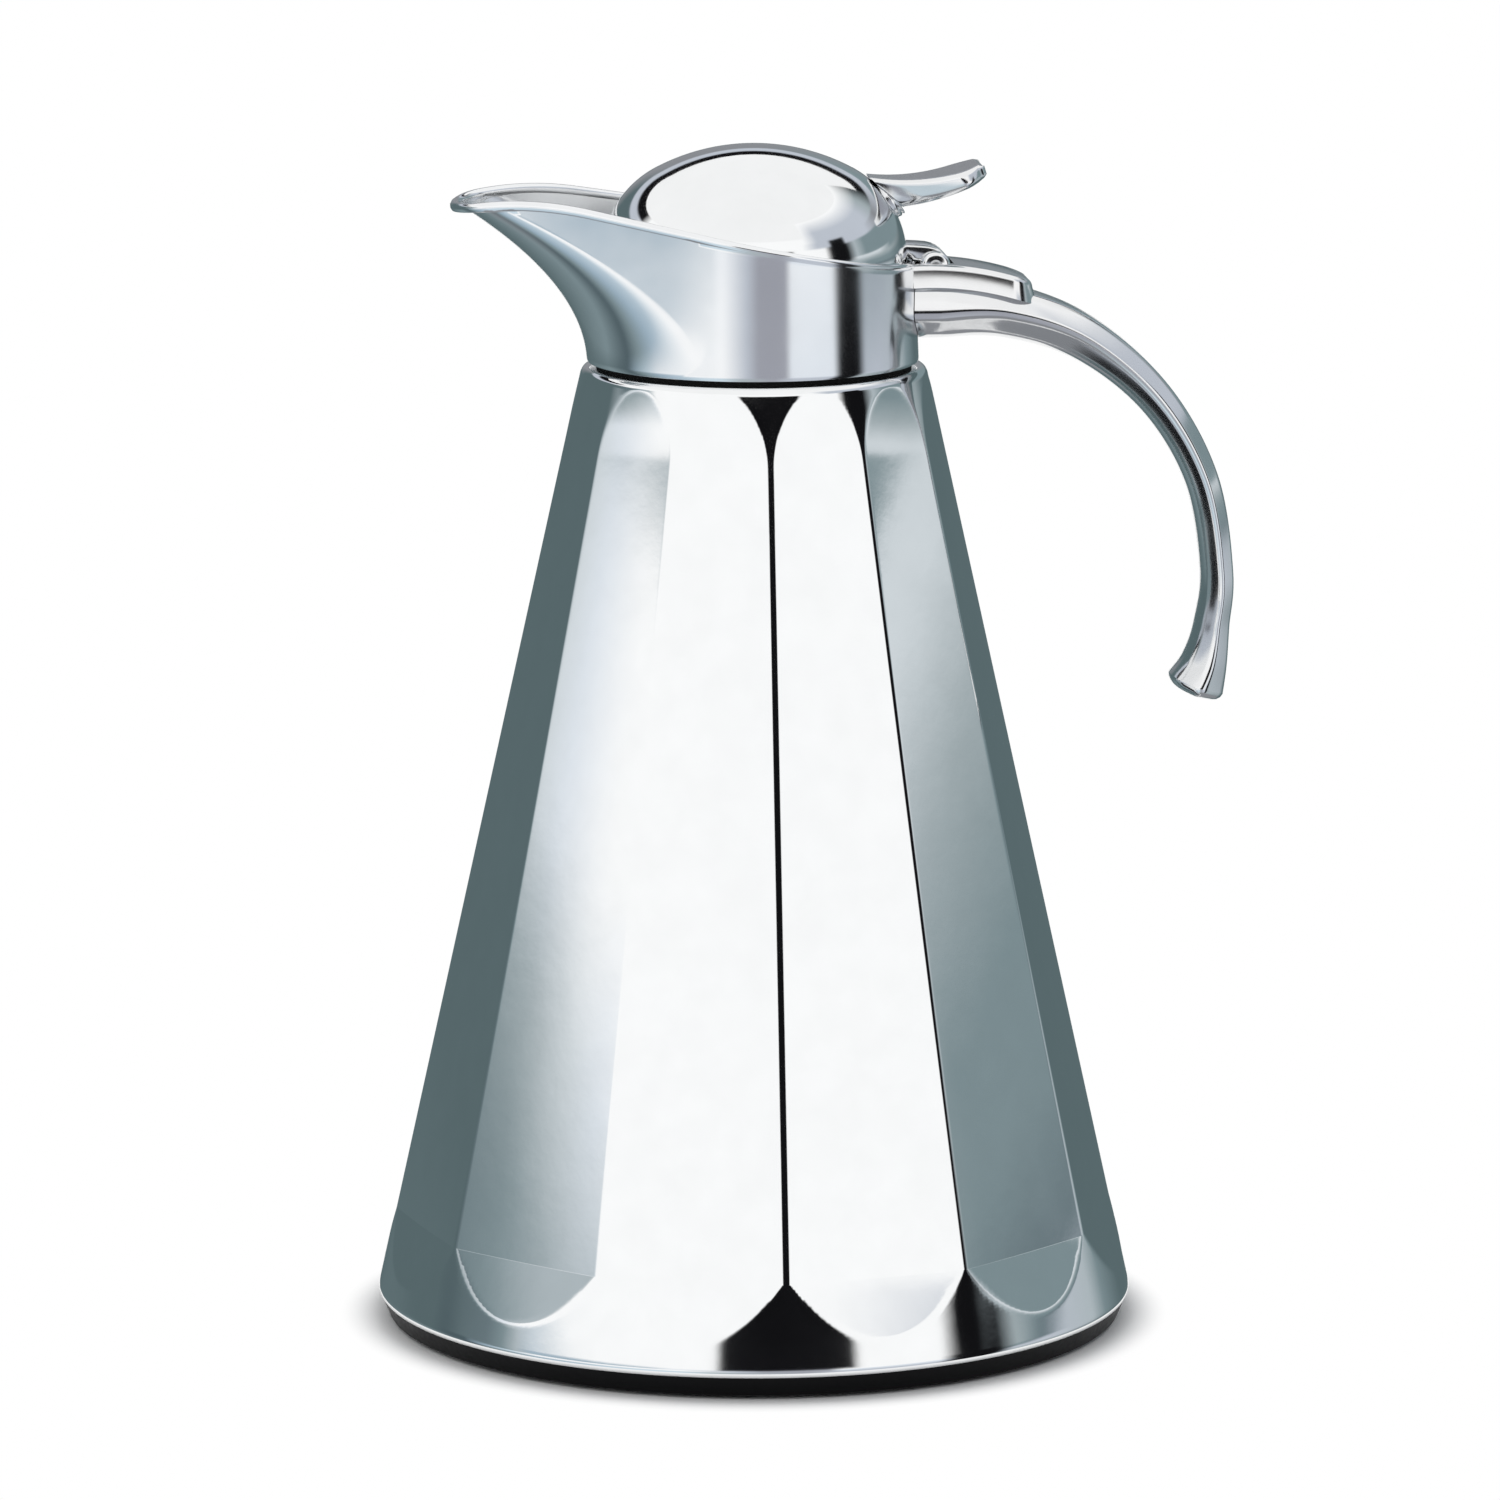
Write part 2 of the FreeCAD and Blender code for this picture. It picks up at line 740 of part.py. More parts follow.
turn_about_axis(handle, [
    (0, collar_z + size.spout_rise * low_step),
    (back_r(low_step) + size.fit_gap, collar_z + size.spout_rise * low_step),
    (back_r(high_step) + size.fit_gap, collar_z + size.spout_rise * high_step),
    (0, collar_z + size.spout_rise * high_step),
], "Groove")
keep(handle)

# Two screws from inside the collar into the root of the handle
screws = new_body("handle_screws")
for height in screw_heights:
    share = (height - collar_z) / size.spout_rise
    seat_x = back_r(share) - size.collar_wall - 0.15
    head = ring(sketch_on(screws, "YZ_Plane", z=seat_x), 0, height, 2.4)
    extrude(screws, head, "Pad", 1.8, "One side", True)
    shank = ring(sketch_on(screws, "YZ_Plane", z=seat_x - 0.5), 0, height, size.screw_r)
    extrude(screws, shank, "Pad", 11.5)
keep(screws)

# Hinge pin through the two knuckles of the handle and the one of the lid
pin = new_body("hinge_pin")
pin_sketch = ring(sketch_on(pin, "XZ_Plane"), size.hinge_x, size.hinge_z, size.pin_r)
extrude(pin, pin_sketch, "Pad", size.block_width - 0.4, "Symmetric")
keep(pin)

# Lid dome: a crown arc and a tighter turn down to a short upright edge
turn_x = size.dome_r - size.dome_turn_r
crown_drop = size.dome_crown_r - size.dome_turn_r
crown_z = size.dome_turn_z - root(crown_drop * crown_drop - turn_x * turn_x)
meet_x = turn_x * size.dome_crown_r / crown_drop
meet_z = crown_z + (size.dome_turn_z - crown_z) * size.dome_crown_r / crown_drop
inner_crown = size.dome_crown_r - size.dome_wall
inner_turn = size.dome_turn_r - size.dome_wall
inner_meet_x = turn_x * inner_crown / crown_drop
inner_meet_z = crown_z + (size.dome_turn_z - crown_z) * inner_crown / crown_drop
dome_form = turned("dome_form", [
    (0, size.dome_edge_z - 1),
    (size.dome_r, size.dome_edge_z - 1),
    (size.dome_r, size.dome_turn_z),
    (meet_x, meet_z, size.dome_turn_r, 1),
    (0, crown_z + size.dome_crown_r, size.dome_crown_r, 1),
])
lever_x = cosine(size.lever_angle)
lever_z = sine(size.lever_angle)
seat_x = turn_x + size.dome_turn_r * lever_x
seat_z = size.dome_turn_z + size.dome_turn_r * lever_z


def along_lever(distance):
    """A point on the lever's screw axis, measured out from the dome."""
    return seat_x + distance * lever_x, seat_z + distance * lever_z


def across_lever(body, distance):
    """A sketch square to the lever's screw axis."""
    x, z = along_lever(distance)
    turn = 90 - size.lever_angle.value
    return sketch_on(body, "XY_Plane", x, 0, z, Vector(0, 1, 0), turn)


dome = new_body("lid_dome")
turn_about_axis(dome, [
    (size.dome_r - size.dome_wall, size.dome_edge_z),
    (size.dome_r, size.dome_edge_z),
    (size.dome_r, size.dome_turn_z),
    (meet_x, meet_z, size.dome_turn_r, 1),
    (0, crown_z + size.dome_crown_r, size.dome_crown_r, 1),
    (0, crown_z + inner_crown),
    (inner_meet_x, inner_meet_z, inner_crown, -1),
    (size.dome_r - size.dome_wall, size.dome_turn_z, inner_turn, -1),
])
extrude(dome, ring(across_lever(dome, -4), 0, 0, size.screw_r + 0.15), "Pocket", 8, "One side", True)
keep(dome)

# Hinge leaf brazed to the back of the dome
leaf_form = new_body("leaf_form")
leaf_arm = outline(sketch_on(leaf_form, "XZ_Plane"), [
    (size.hinge_x - 8, size.rim_back_z + 0.5),
    (size.hinge_x - 2.2, size.rim_back_z + 0.5),
    (size.hinge_x - 0.6, size.hinge_z - 0.4),
    (size.hinge_x + 1.2, size.hinge_z + 2.6),
    (size.hinge_x - 3.5, size.hinge_z + 6),
    (size.hinge_x - 8, size.hinge_z + 6),
])
extrude(leaf_form, leaf_arm, "Pad", size.leaf_width, "Symmetric")
knuckle = ring(sketch_on(leaf_form, "XZ_Plane"), size.hinge_x, size.hinge_z, size.knuckle_r)
extrude(leaf_form, knuckle, "Pad", size.leaf_width, "Symmetric")
leaf_bore = ring(sketch_on(leaf_form, "XZ_Plane"), size.hinge_x, size.hinge_z, size.pin_r + size.running_gap)
extrude(leaf_form, leaf_bore, "Pocket", 40, "Symmetric")
keep(cut("hinge_leaf", leaf_form, dome_form))

# Thumb lever, its ferrule and the screw that draws both onto the dome
lever = new_body("thumb_lever")
root_x, root_z = along_lever(size.ferrule_height)
top_x = root_x - 5.2 * lever_z
top_z = root_z + 5.2 * lever_x
low_x = root_x + 2.6 * lever_z
low_z = root_z - 2.6 * lever_x
side_view = outline(sketch_on(lever, "XZ_Plane"), [
    (top_x, top_z, 45, -1),
    (low_x, low_z),
    (root_x + 17.3, root_z + 3.6, 27, 1),
    (root_x + 16.4, root_z + 5.9, 1.4, 1),
])
extrude(lever, side_view, "Pad", size.lever_width, "Symmetric")
half_tip = size.lever_width / 2
half_root = size.lever_root_width / 2
for side in (1, -1):
    waist = outline(sketch_on(lever, "XY_Plane", z=root_z - 20), [
        (top_x - 5, half_root * side),
        (root_x + 2, half_root * side),
        (root_x + 11, (half_tip - 0.2) * side, 22, side),
        (root_x + 14, half_tip * side),
        (root_x + 14, (half_tip + 5) * side),
        (top_x - 5, (half_tip + 5) * side),
    ])
    extrude(lever, waist, "Pocket", 40, "One side", True)
lever_screw_bore = ring(across_lever(lever, size.ferrule_height - 1), 0, 0, size.screw_r + 0.02)
extrude(lever, lever_screw_bore, "Pocket", 4.4, "One side", True)
keep(lever)
ferrule_form = new_body("ferrule_form")
ferrule_sketch = ring(across_lever(ferrule_form, -1.5), 0, 0, size.ferrule_r)
extrude(ferrule_form, ferrule_sketch, "Pad", size.ferrule_height + 1.5)
bore_sketch = ring(across_lever(ferrule_form, -3), 0, 0, size.screw_r + 0.15)
extrude(ferrule_form, bore_sketch, "Pocket", 8, "One side", True)
keep(cut("lever_ferrule", ferrule_form, dome_form))
lever_screw = new_body("lever_screw")
head_out = -(size.dome_wall + 0.25)
head_sketch = ring(across_lever(lever_screw, head_out - 1.6), 0, 0, 2.6)
extrude(lever_screw, head_sketch, "Pad", 1.6)
shank_sketch = ring(across_lever(lever_screw, head_out - 0.5), 0, 0, size.screw_r)
extrude(lever_screw, shank_sketch, "Pad", 5.2 + size.dome_wall)
keep(lever_screw)

# Liner plate that closes the dome from below
liner_z = size.dome_edge_z + 0.2
liner_r = size.dome_r - size.dome_wall - size.fit_gap
stud_hole = size.stud_r + size.fit_gap
keep(turned("lid_liner", [
    (stud_hole, liner_z),
    (liner_r, liner_z),
    (liner_r, size.dome_turn_z),
    (liner_r - 1.6, size.dome_turn_z),
    (liner_r - 1.6, liner_z + size.liner_sheet),
    (stud_hole, liner_z + size.liner_sheet),
]))

# Stopper plug with its face seal, hanging from the stud under the crown
seal_z = lip_z + 0.3
seal_top = seal_z + size.seal_height
stopper_low = lip_z - size.stopper_depth
nut_room = 4.6
keep(turned("stopper", [
    (nut_room, stopper_low),
    (size.stopper_r - 1, stopper_low),
    (size.stopper_r, lip_z - 0.4),
    (size.stopper_r, seal_z - 0.1),
    (size.stopper_r - 0.5, seal_z),
    (size.stopper_r - 0.5, seal_top),
    (size.stopper_r + 3.5, seal_top),
    (size.stopper_r + 3.5, seal_top + 1.6),
    (size.stopper_r - 5.5, seal_top + 2.6),
    (size.stopper_r - 5.5, liner_z),
    (stud_hole, liner_z),
    (stud_hole, stopper_low + 4),
    (nut_room, stopper_low + 4),
]))
keep(turned("stopper_seal", [
    (size.stopper_r - 0.45, seal_z),
    (size.stopper_r - 0.45 + size.seal_width, seal_z),
    (size.stopper_r - 0.45 + size.seal_width, seal_top - 0.5),
    (size.stopper_r - 0.95 + size.seal_width, seal_top),
    (size.stopper_r - 0.45, seal_top),
]))
stud_flange = 5
stud_crown = inner_crown - 0.05
flange_edge_z = crown_z + root(stud_crown * stud_crown - stud_flange * stud_flange)
keep(turned("lid_stud", [
    (0, stopper_low + 1.2),
    (size.stud_r, stopper_low + 1.2),
    (size.stud_r, flange_edge_z - 1.4),
    (stud_flange, flange_edge_z - 1.4),
    (stud_flange, flange_edge_z),
    (0, crown_z + stud_crown, stud_crown, 1),
]))
cap_nut = new_body("stopper_nut")
cap_sketch = sketch_on(cap_nut, "XY_Plane", z=stopper_low + 0.5)
nut_corner = 4.0
corner_turns = [math.radians(turn) for turn in range(30, 390, 60)]
hexagon = [(nut_corner * math.cos(turn), nut_corner * math.sin(turn)) for turn in corner_turns]
outline(cap_sketch, hexagon)
extrude(cap_nut, cap_sketch, "Pad", 3.5)
cap_bore = ring(sketch_on(cap_nut, "XY_Plane", z=stopper_low + 1.15), 0, 0, size.stud_r + 0.02)
extrude(cap_nut, cap_bore, "Pocket", 6, "One side", True)
keep(cap_nut)

# Every piece is checked, then written under its node name
doc.recompute()
for item in doc.Objects:
    if "Invalid" in item.State or "Error" in item.State:
        raise RuntimeError("not rebuilt: " + item.Label)
for node in nodes:
    if node.Shape.isNull() or not node.Shape.isValid():
        raise RuntimeError("bad shape: " + node.Label)
    node.Shape.exportStep("parts/%s.step" % node.Label)
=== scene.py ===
import math

import bpy
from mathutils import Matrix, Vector


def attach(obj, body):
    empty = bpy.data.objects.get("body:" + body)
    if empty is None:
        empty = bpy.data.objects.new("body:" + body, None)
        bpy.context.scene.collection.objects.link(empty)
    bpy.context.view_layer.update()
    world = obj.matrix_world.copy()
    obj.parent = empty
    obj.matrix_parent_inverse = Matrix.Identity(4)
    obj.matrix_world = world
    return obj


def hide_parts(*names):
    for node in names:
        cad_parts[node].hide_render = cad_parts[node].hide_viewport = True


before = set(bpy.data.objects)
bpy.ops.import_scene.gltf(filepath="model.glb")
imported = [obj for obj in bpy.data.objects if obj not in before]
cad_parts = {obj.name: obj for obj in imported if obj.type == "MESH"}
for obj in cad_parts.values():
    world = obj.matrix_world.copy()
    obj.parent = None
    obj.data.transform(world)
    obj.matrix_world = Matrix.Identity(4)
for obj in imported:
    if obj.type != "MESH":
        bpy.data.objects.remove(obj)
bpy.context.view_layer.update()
# Sizes of the pieces are in millimetres, and the mesh takes metres
MM = 0.001


# Black moulded pieces: the rubber pad under the foot, the seals, and the stopper below the lid.
# Satin plastic with a fine moulded grain, and duller rubber where a piece grips or seals.
GRAIN_DEPTH = 0.2 * MM
BLACK_SHEEN = 0.08


def new_group(name, inputs, outputs):
    """An empty shader node group with its named sockets."""
    group = bpy.data.node_groups.new(name, "ShaderNodeTree")
    for label, kind in inputs:
        group.interface.new_socket(label, in_out="INPUT", socket_type=kind)
    for label, kind in outputs:
        group.interface.new_socket(label, in_out="OUTPUT", socket_type=kind)
    return group, group.nodes.new("NodeGroupInput"), group.nodes.new("NodeGroupOutput")


def grain_group():
    """Uneven grain: a soft tone between two values and a height for bump."""
    inputs = [("Vector", "NodeSocketVector"), ("Scale", "NodeSocketFloat")]
    inputs += [("Low", "NodeSocketFloat"), ("High", "NodeSocketFloat")]
    outputs = [("Tone", "NodeSocketFloat"), ("Height", "NodeSocketFloat")]
    group, given, result = new_group("uneven_grain", inputs, outputs)
    noise = group.nodes.new("ShaderNodeTexNoise")
    noise.inputs["Detail"].default_value = 6.0
    spread = group.nodes.new("ShaderNodeMapRange")
    spread.inputs["From Min"].default_value = 0.3
    spread.inputs["From Max"].default_value = 0.7
    links = group.links
    links.new(given.outputs["Vector"], noise.inputs["Vector"])
    links.new(given.outputs["Scale"], noise.inputs["Scale"])
    links.new(noise.outputs["Fac"], spread.inputs["Value"])
    links.new(given.outputs["Low"], spread.inputs["To Min"])
    links.new(given.outputs["High"], spread.inputs["To Max"])
    links.new(spread.outputs["Result"], result.inputs["Tone"])
    links.new(noise.outputs["Fac"], result.inputs["Height"])
    return group


GRAIN = grain_group()


def new_material(name):
    """A node material, with its Principled shader and the object coordinates."""
    material = bpy.data.materials.new(name)
    material.use_nodes = True
    shader = material.node_tree.nodes["Principled BSDF"]
    place = material.node_tree.nodes.new("ShaderNodeTexCoord")
    return material, shader, place.outputs["Object"]


def add_grain(material, vector, scale, low, high):
    """Place the shared grain in a material with its own values."""
    node = material.node_tree.nodes.new("ShaderNodeGroup")
    node.node_tree = GRAIN
    node.inputs["Scale"].default_value = scale
    node.inputs["Low"].default_value = low
    node.inputs["High"].default_value = high
    material.node_tree.links.new(vector, node.inputs["Vector"])
    return node


def add_bump(material, shader, height, strength, distance):
    """Bump on the shader's normal from a height."""
    bump = material.node_tree.nodes.new("ShaderNodeBump")
    bump.inputs["Strength"].default_value = strength
    bump.inputs["Distance"].default_value = distance
    material.node_tree.links.new(height, bump.inputs["Height"])
    material.node_tree.links.new(bump.outputs["Normal"], shader.inputs["Normal"])


def dull_black(name, colour, grain_scale, smooth, rough, bump):
    """Moulded black plastic or rubber, rougher in patches, with a grain."""
    material, shader, vector = new_material(name)
    shader.inputs["Base Color"].default_value = (*colour, 1)
    shader.inputs["Specular IOR Level"].default_value = BLACK_SHEEN
    grain = add_grain(material, vector, grain_scale, smooth, rough)
    material.node_tree.links.new(grain.outputs["Tone"], shader.inputs["Roughness"])
    add_bump(material, shader, grain.outputs["Height"], bump, GRAIN_DEPTH)
    return material


def dress(material, *names):
    """Give CAD nodes a material."""
    for name in names:
        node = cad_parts[name]
        node.data.materials.clear()
        node.data.materials.append(material)


SATIN_COLOUR = (0.003, 0.003, 0.0035)
RUBBER_COLOUR = (0.010, 0.010, 0.010)
SATIN_LOOK = {"grain_scale": 900.0, "smooth": 0.34, "rough": 0.46, "bump": 0.12}
RUBBER_LOOK = {"grain_scale": 1400.0, "smooth": 0.62, "rough": 0.8, "bump": 0.3}
satin_black = dull_black("satin_black_plastic", SATIN_COLOUR, **SATIN_LOOK)
black_rubber = dull_black("black_rubber", RUBBER_COLOUR, **RUBBER_LOOK)
dress(satin_black, "lid_liner", "stopper")
dress(black_rubber, "foot_pad", "neck_seal", "stopper_seal")


# Inner flask and small steel parts: drawn and turned stainless steel, left plain.
# Fine turning marks run round the axis, so the grain is stretched level.
TURNED_COLOUR = (0.55, 0.56, 0.57)
MARK_STRETCH = (0.06, 0.06, 1.0)
MARK_SCALE = 2200.0
MARK_DEPTH = 0.1 * MM


def turned_steel():
    """Plain stainless steel with level turning marks."""
    material, shader, vector = new_material("turned_steel")
    shader.inputs["Base Color"].default_value = (*TURNED_COLOUR, 1)
    shader.inputs["Metallic"].default_value = 1.0
    stretch = material.node_tree.nodes.new("ShaderNodeMapping")
    stretch.inputs["Scale"].default_value = MARK_STRETCH
    material.node_tree.links.new(vector, stretch.inputs["Vector"])
    marks = add_grain(material, stretch.outputs["Vector"], MARK_SCALE, low=0.24, high=0.38)
    material.node_tree.links.new(marks.outputs["Tone"], shader.inputs["Roughness"])
    add_bump(material, shader, marks.outputs["Height"], strength=0.1, distance=MARK_DEPTH)
    return material


plain_steel = turned_steel()
dress(plain_steel, "inner_flask", "bottom_plate", "vacuum_seal", "getter_capsule", "neck_nut")
dress(plain_steel, "handle_screws", "lever_screw", "lid_stud", "stopper_nut")


# Outer shell: a straight cone of polished sheet steel, pressed into flats that fade into the
# round shoulder and rise over a faint fold to the rolled foot. A round strip stays along each edge.
FACETS = 12
WALL = 0.8
FOOT_R = 76.3
FOOT_Z = 4.2
LOWER_FLAT = 22.5
UPPER_FLAT = 178.0
TOP_R = 34.4
TOP_Z = 193.0
NECK_R = 26.4
NECK_TOP = 204.0
FLANGE_R = 66.0
FOOT_ROUND = 1.7
SHOULDER_ROUND = 1.8
LEAN = (FOOT_R - TOP_R) / (TOP_Z - FOOT_Z)
LEAN_ANGLE = math.atan(LEAN)
SHEET_COLOUR = (0.89, 0.90, 0.905)
MOTTLE_SHADE = 0.97
MOTTLE_SCALE = 140.0
CLOUD_SCALE = 55.0
RIPPLE_SCALE = 40.0
RIPPLE_DEPTH = 0.4 * MM


def mirror_metal(name, colour, smooth, hazy, wave):
    """Polished metal: slightly clouded in patches, with the faint waviness of hand polishing."""
    material, shader, vector = new_material(name)
    shader.inputs["Metallic"].default_value = 1.0
    tint = material.node_tree.nodes.new("ShaderNodeMix")
    tint.data_type = "RGBA"
    tint.inputs["A"].default_value = (*[MOTTLE_SHADE * c for c in colour], 1)
    tint.inputs["B"].default_value = (*colour, 1)
    mottle = add_grain(material, vector, MOTTLE_SCALE, 0.0, 1.0)
    material.node_tree.links.new(mottle.outputs["Tone"], tint.inputs["Factor"])
    material.node_tree.links.new(tint.outputs["Result"], shader.inputs["Base Color"])
    cloud = add_grain(material, vector, CLOUD_SCALE, smooth, hazy)
    material.node_tree.links.new(cloud.outputs["Tone"], shader.inputs["Roughness"])
    ripple = add_grain(material, vector, RIPPLE_SCALE, 0.0, 1.0)
    add_bump(material, shader, ripple.outputs["Height"], wave, RIPPLE_DEPTH)
    return material


shell_polish = mirror_metal("polished_shell_steel", SHEET_COLOUR, smooth=0.035, hazy=0.085, wave=0.09)


def skin(name, rings, closed=False):
    """A mesh from rings of points, one quad band between neighbours. A ring of one point is a pole."""
    points = []
    starts = []
    for ring in rings:
        starts.append(len(points))
        points.extend(ring)
    faces = []
    pairs = list(zip(range(len(rings)), range(1, len(rings))))
    if closed:
        pairs.append((len(rings) - 1, 0))
    for low, high in pairs:
        count = max(len(rings[low]), len(rings[high]))
        for k in range(count):
            after = (k + 1) % count
            a = starts[low] + (k if len(rings[low]) > 1 else 0)
            b = starts[low] + (after if len(rings[low]) > 1 else 0)
            c = starts[high] + (after if len(rings[high]) > 1 else 0)
            d = starts[high] + (k if len(rings[high]) > 1 else 0)
            face = [a]
            for corner in (b, c, d):
                if corner not in face:
                    face.append(corner)
            if len(face) > 2:
                faces.append(face)
    mesh = bpy.data.meshes.new(name)
    mesh.from_pydata([tuple(Vector(p) * MM) for p in points], [], faces)
    mesh.update()
    piece = bpy.data.objects.new(name, mesh)
    bpy.context.collection.objects.link(piece)
    return piece


def finish_piece(piece, material, body, slot, *nodes, sharp=35):
    """Smooth the mesh, keep its hard edges, and put it in place of its CAD nodes."""
    mesh = piece.data
    mesh.polygons.foreach_set("use_smooth", [True] * len(mesh.polygons))
    mesh.set_sharp_from_angle(angle=math.radians(sharp))
    mesh.materials.clear()
    mesh.materials.append(material)
    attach(piece, body)
    if nodes:
        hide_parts(*nodes)


def arc(cx, cz, radius, start, end, count):
    """Points on an arc in the upright plane, angles in degrees from the outward level."""
    turns = [math.radians(start + (end - start) * k / count) for k in range(count + 1)]
    return [(cx + radius * math.cos(t), cz + radius * math.sin(t)) for t in turns]


def run(first, last, count):
    """Points along a straight line, without its first end."""
    steps = [k / count for k in range(1, count + 1)]
    return [(first[0] + (last[0] - first[0]) * s, first[1] + (last[1] - first[1]) * s) for s in steps]


FOOT_STEPS = 14
SHOULDER_STEPS = 8
LAST_ROWS = 6


def shell_profile(inset, rows):
    """One side of the shell wall from the flange to the neck, with rows up to each given height."""
    lean_deg = math.degrees(LEAN_ANGLE)
    foot_z = FOOT_Z + inset
    top_z = TOP_Z - inset
    foot_corner = FOOT_R - LEAN * inset - inset / math.cos(LEAN_ANGLE)
    top_corner = TOP_R + LEAN * inset - inset / math.cos(LEAN_ANGLE)
    foot_round = FOOT_ROUND - inset
    shoulder = SHOULDER_ROUND - inset
    foot_cx = foot_corner - foot_round / math.tan(math.radians(45 - lean_deg / 2))
    points = [(FLANGE_R, foot_z)]
    points += arc(foot_cx, foot_z + foot_round, foot_round, -90, lean_deg, FOOT_STEPS)
    top_cx = top_corner - shoulder * math.tan(math.radians(45 - lean_deg / 2))
    crown = arc(top_cx, top_z - shoulder, shoulder, lean_deg, 90, SHOULDER_STEPS)
    low = points[-1]
    high = crown[0]
    marks = [low]
    for z, count in rows:
        share = (z - low[1]) / (high[1] - low[1])
        spot = (low[0] + (high[0] - low[0]) * share, z)
        marks += run(marks[-1], spot, count)
    points += marks[1:]
    points += run(marks[-1], high, LAST_ROWS)
    points += crown[1:]
    points += [(NECK_R - inset, top_z), (NECK_R - inset, NECK_TOP)]
    return points


# Degrees across a facet, close together on the round strip and wider on the flat
PITCH = 360 / FACETS
STRIP_STEP = 0.1
FADE_TURNS = (1.1, 1.5, 1.9, 2.4)
FLAT_COLUMNS = 26
flat_start = FADE_TURNS[-1]
flat_wide = PITCH - 2 * flat_start
facet_turns = [k * STRIP_STEP for k in range(-8, 9)]
facet_turns += [side * turn for side in (-1, 1) for turn in FADE_TURNS]
facet_turns += [flat_start + flat_wide * k / FLAT_COLUMNS for k in range(1, FLAT_COLUMNS)]
turns = [math.radians(PITCH * facet + turn) for facet in range(FACETS) for turn in sorted(facet_turns)]
# Heights and the rows up to each, with close rows at the fold so that the faces beside it stay flat
BEND_NEAR = 0.01
BEND_FAR = 0.06
INSIDE_LOW = 26
FADE_LOW = 165
FADE_HIGH = 190
outside_rows = [(LOWER_FLAT - BEND_FAR, 25), (LOWER_FLAT - BEND_NEAR, 1), (LOWER_FLAT + BEND_NEAR, 1)]
outside_rows += [(LOWER_FLAT + BEND_FAR, 1), (FADE_LOW, 6), (FADE_HIGH, 32)]
outside = shell_profile(0.0, outside_rows)
inside = shell_profile(WALL, [(INSIDE_LOW, 6), (FADE_LOW, 2), (FADE_HIGH, 6)])
wall_rings = []
for r, z in outside + inside[::-1]:
    wall_rings.append([(r * math.cos(turn), r * math.sin(turn), z) for turn in turns])
shell = skin("outer_shell", wall_rings, closed=True)


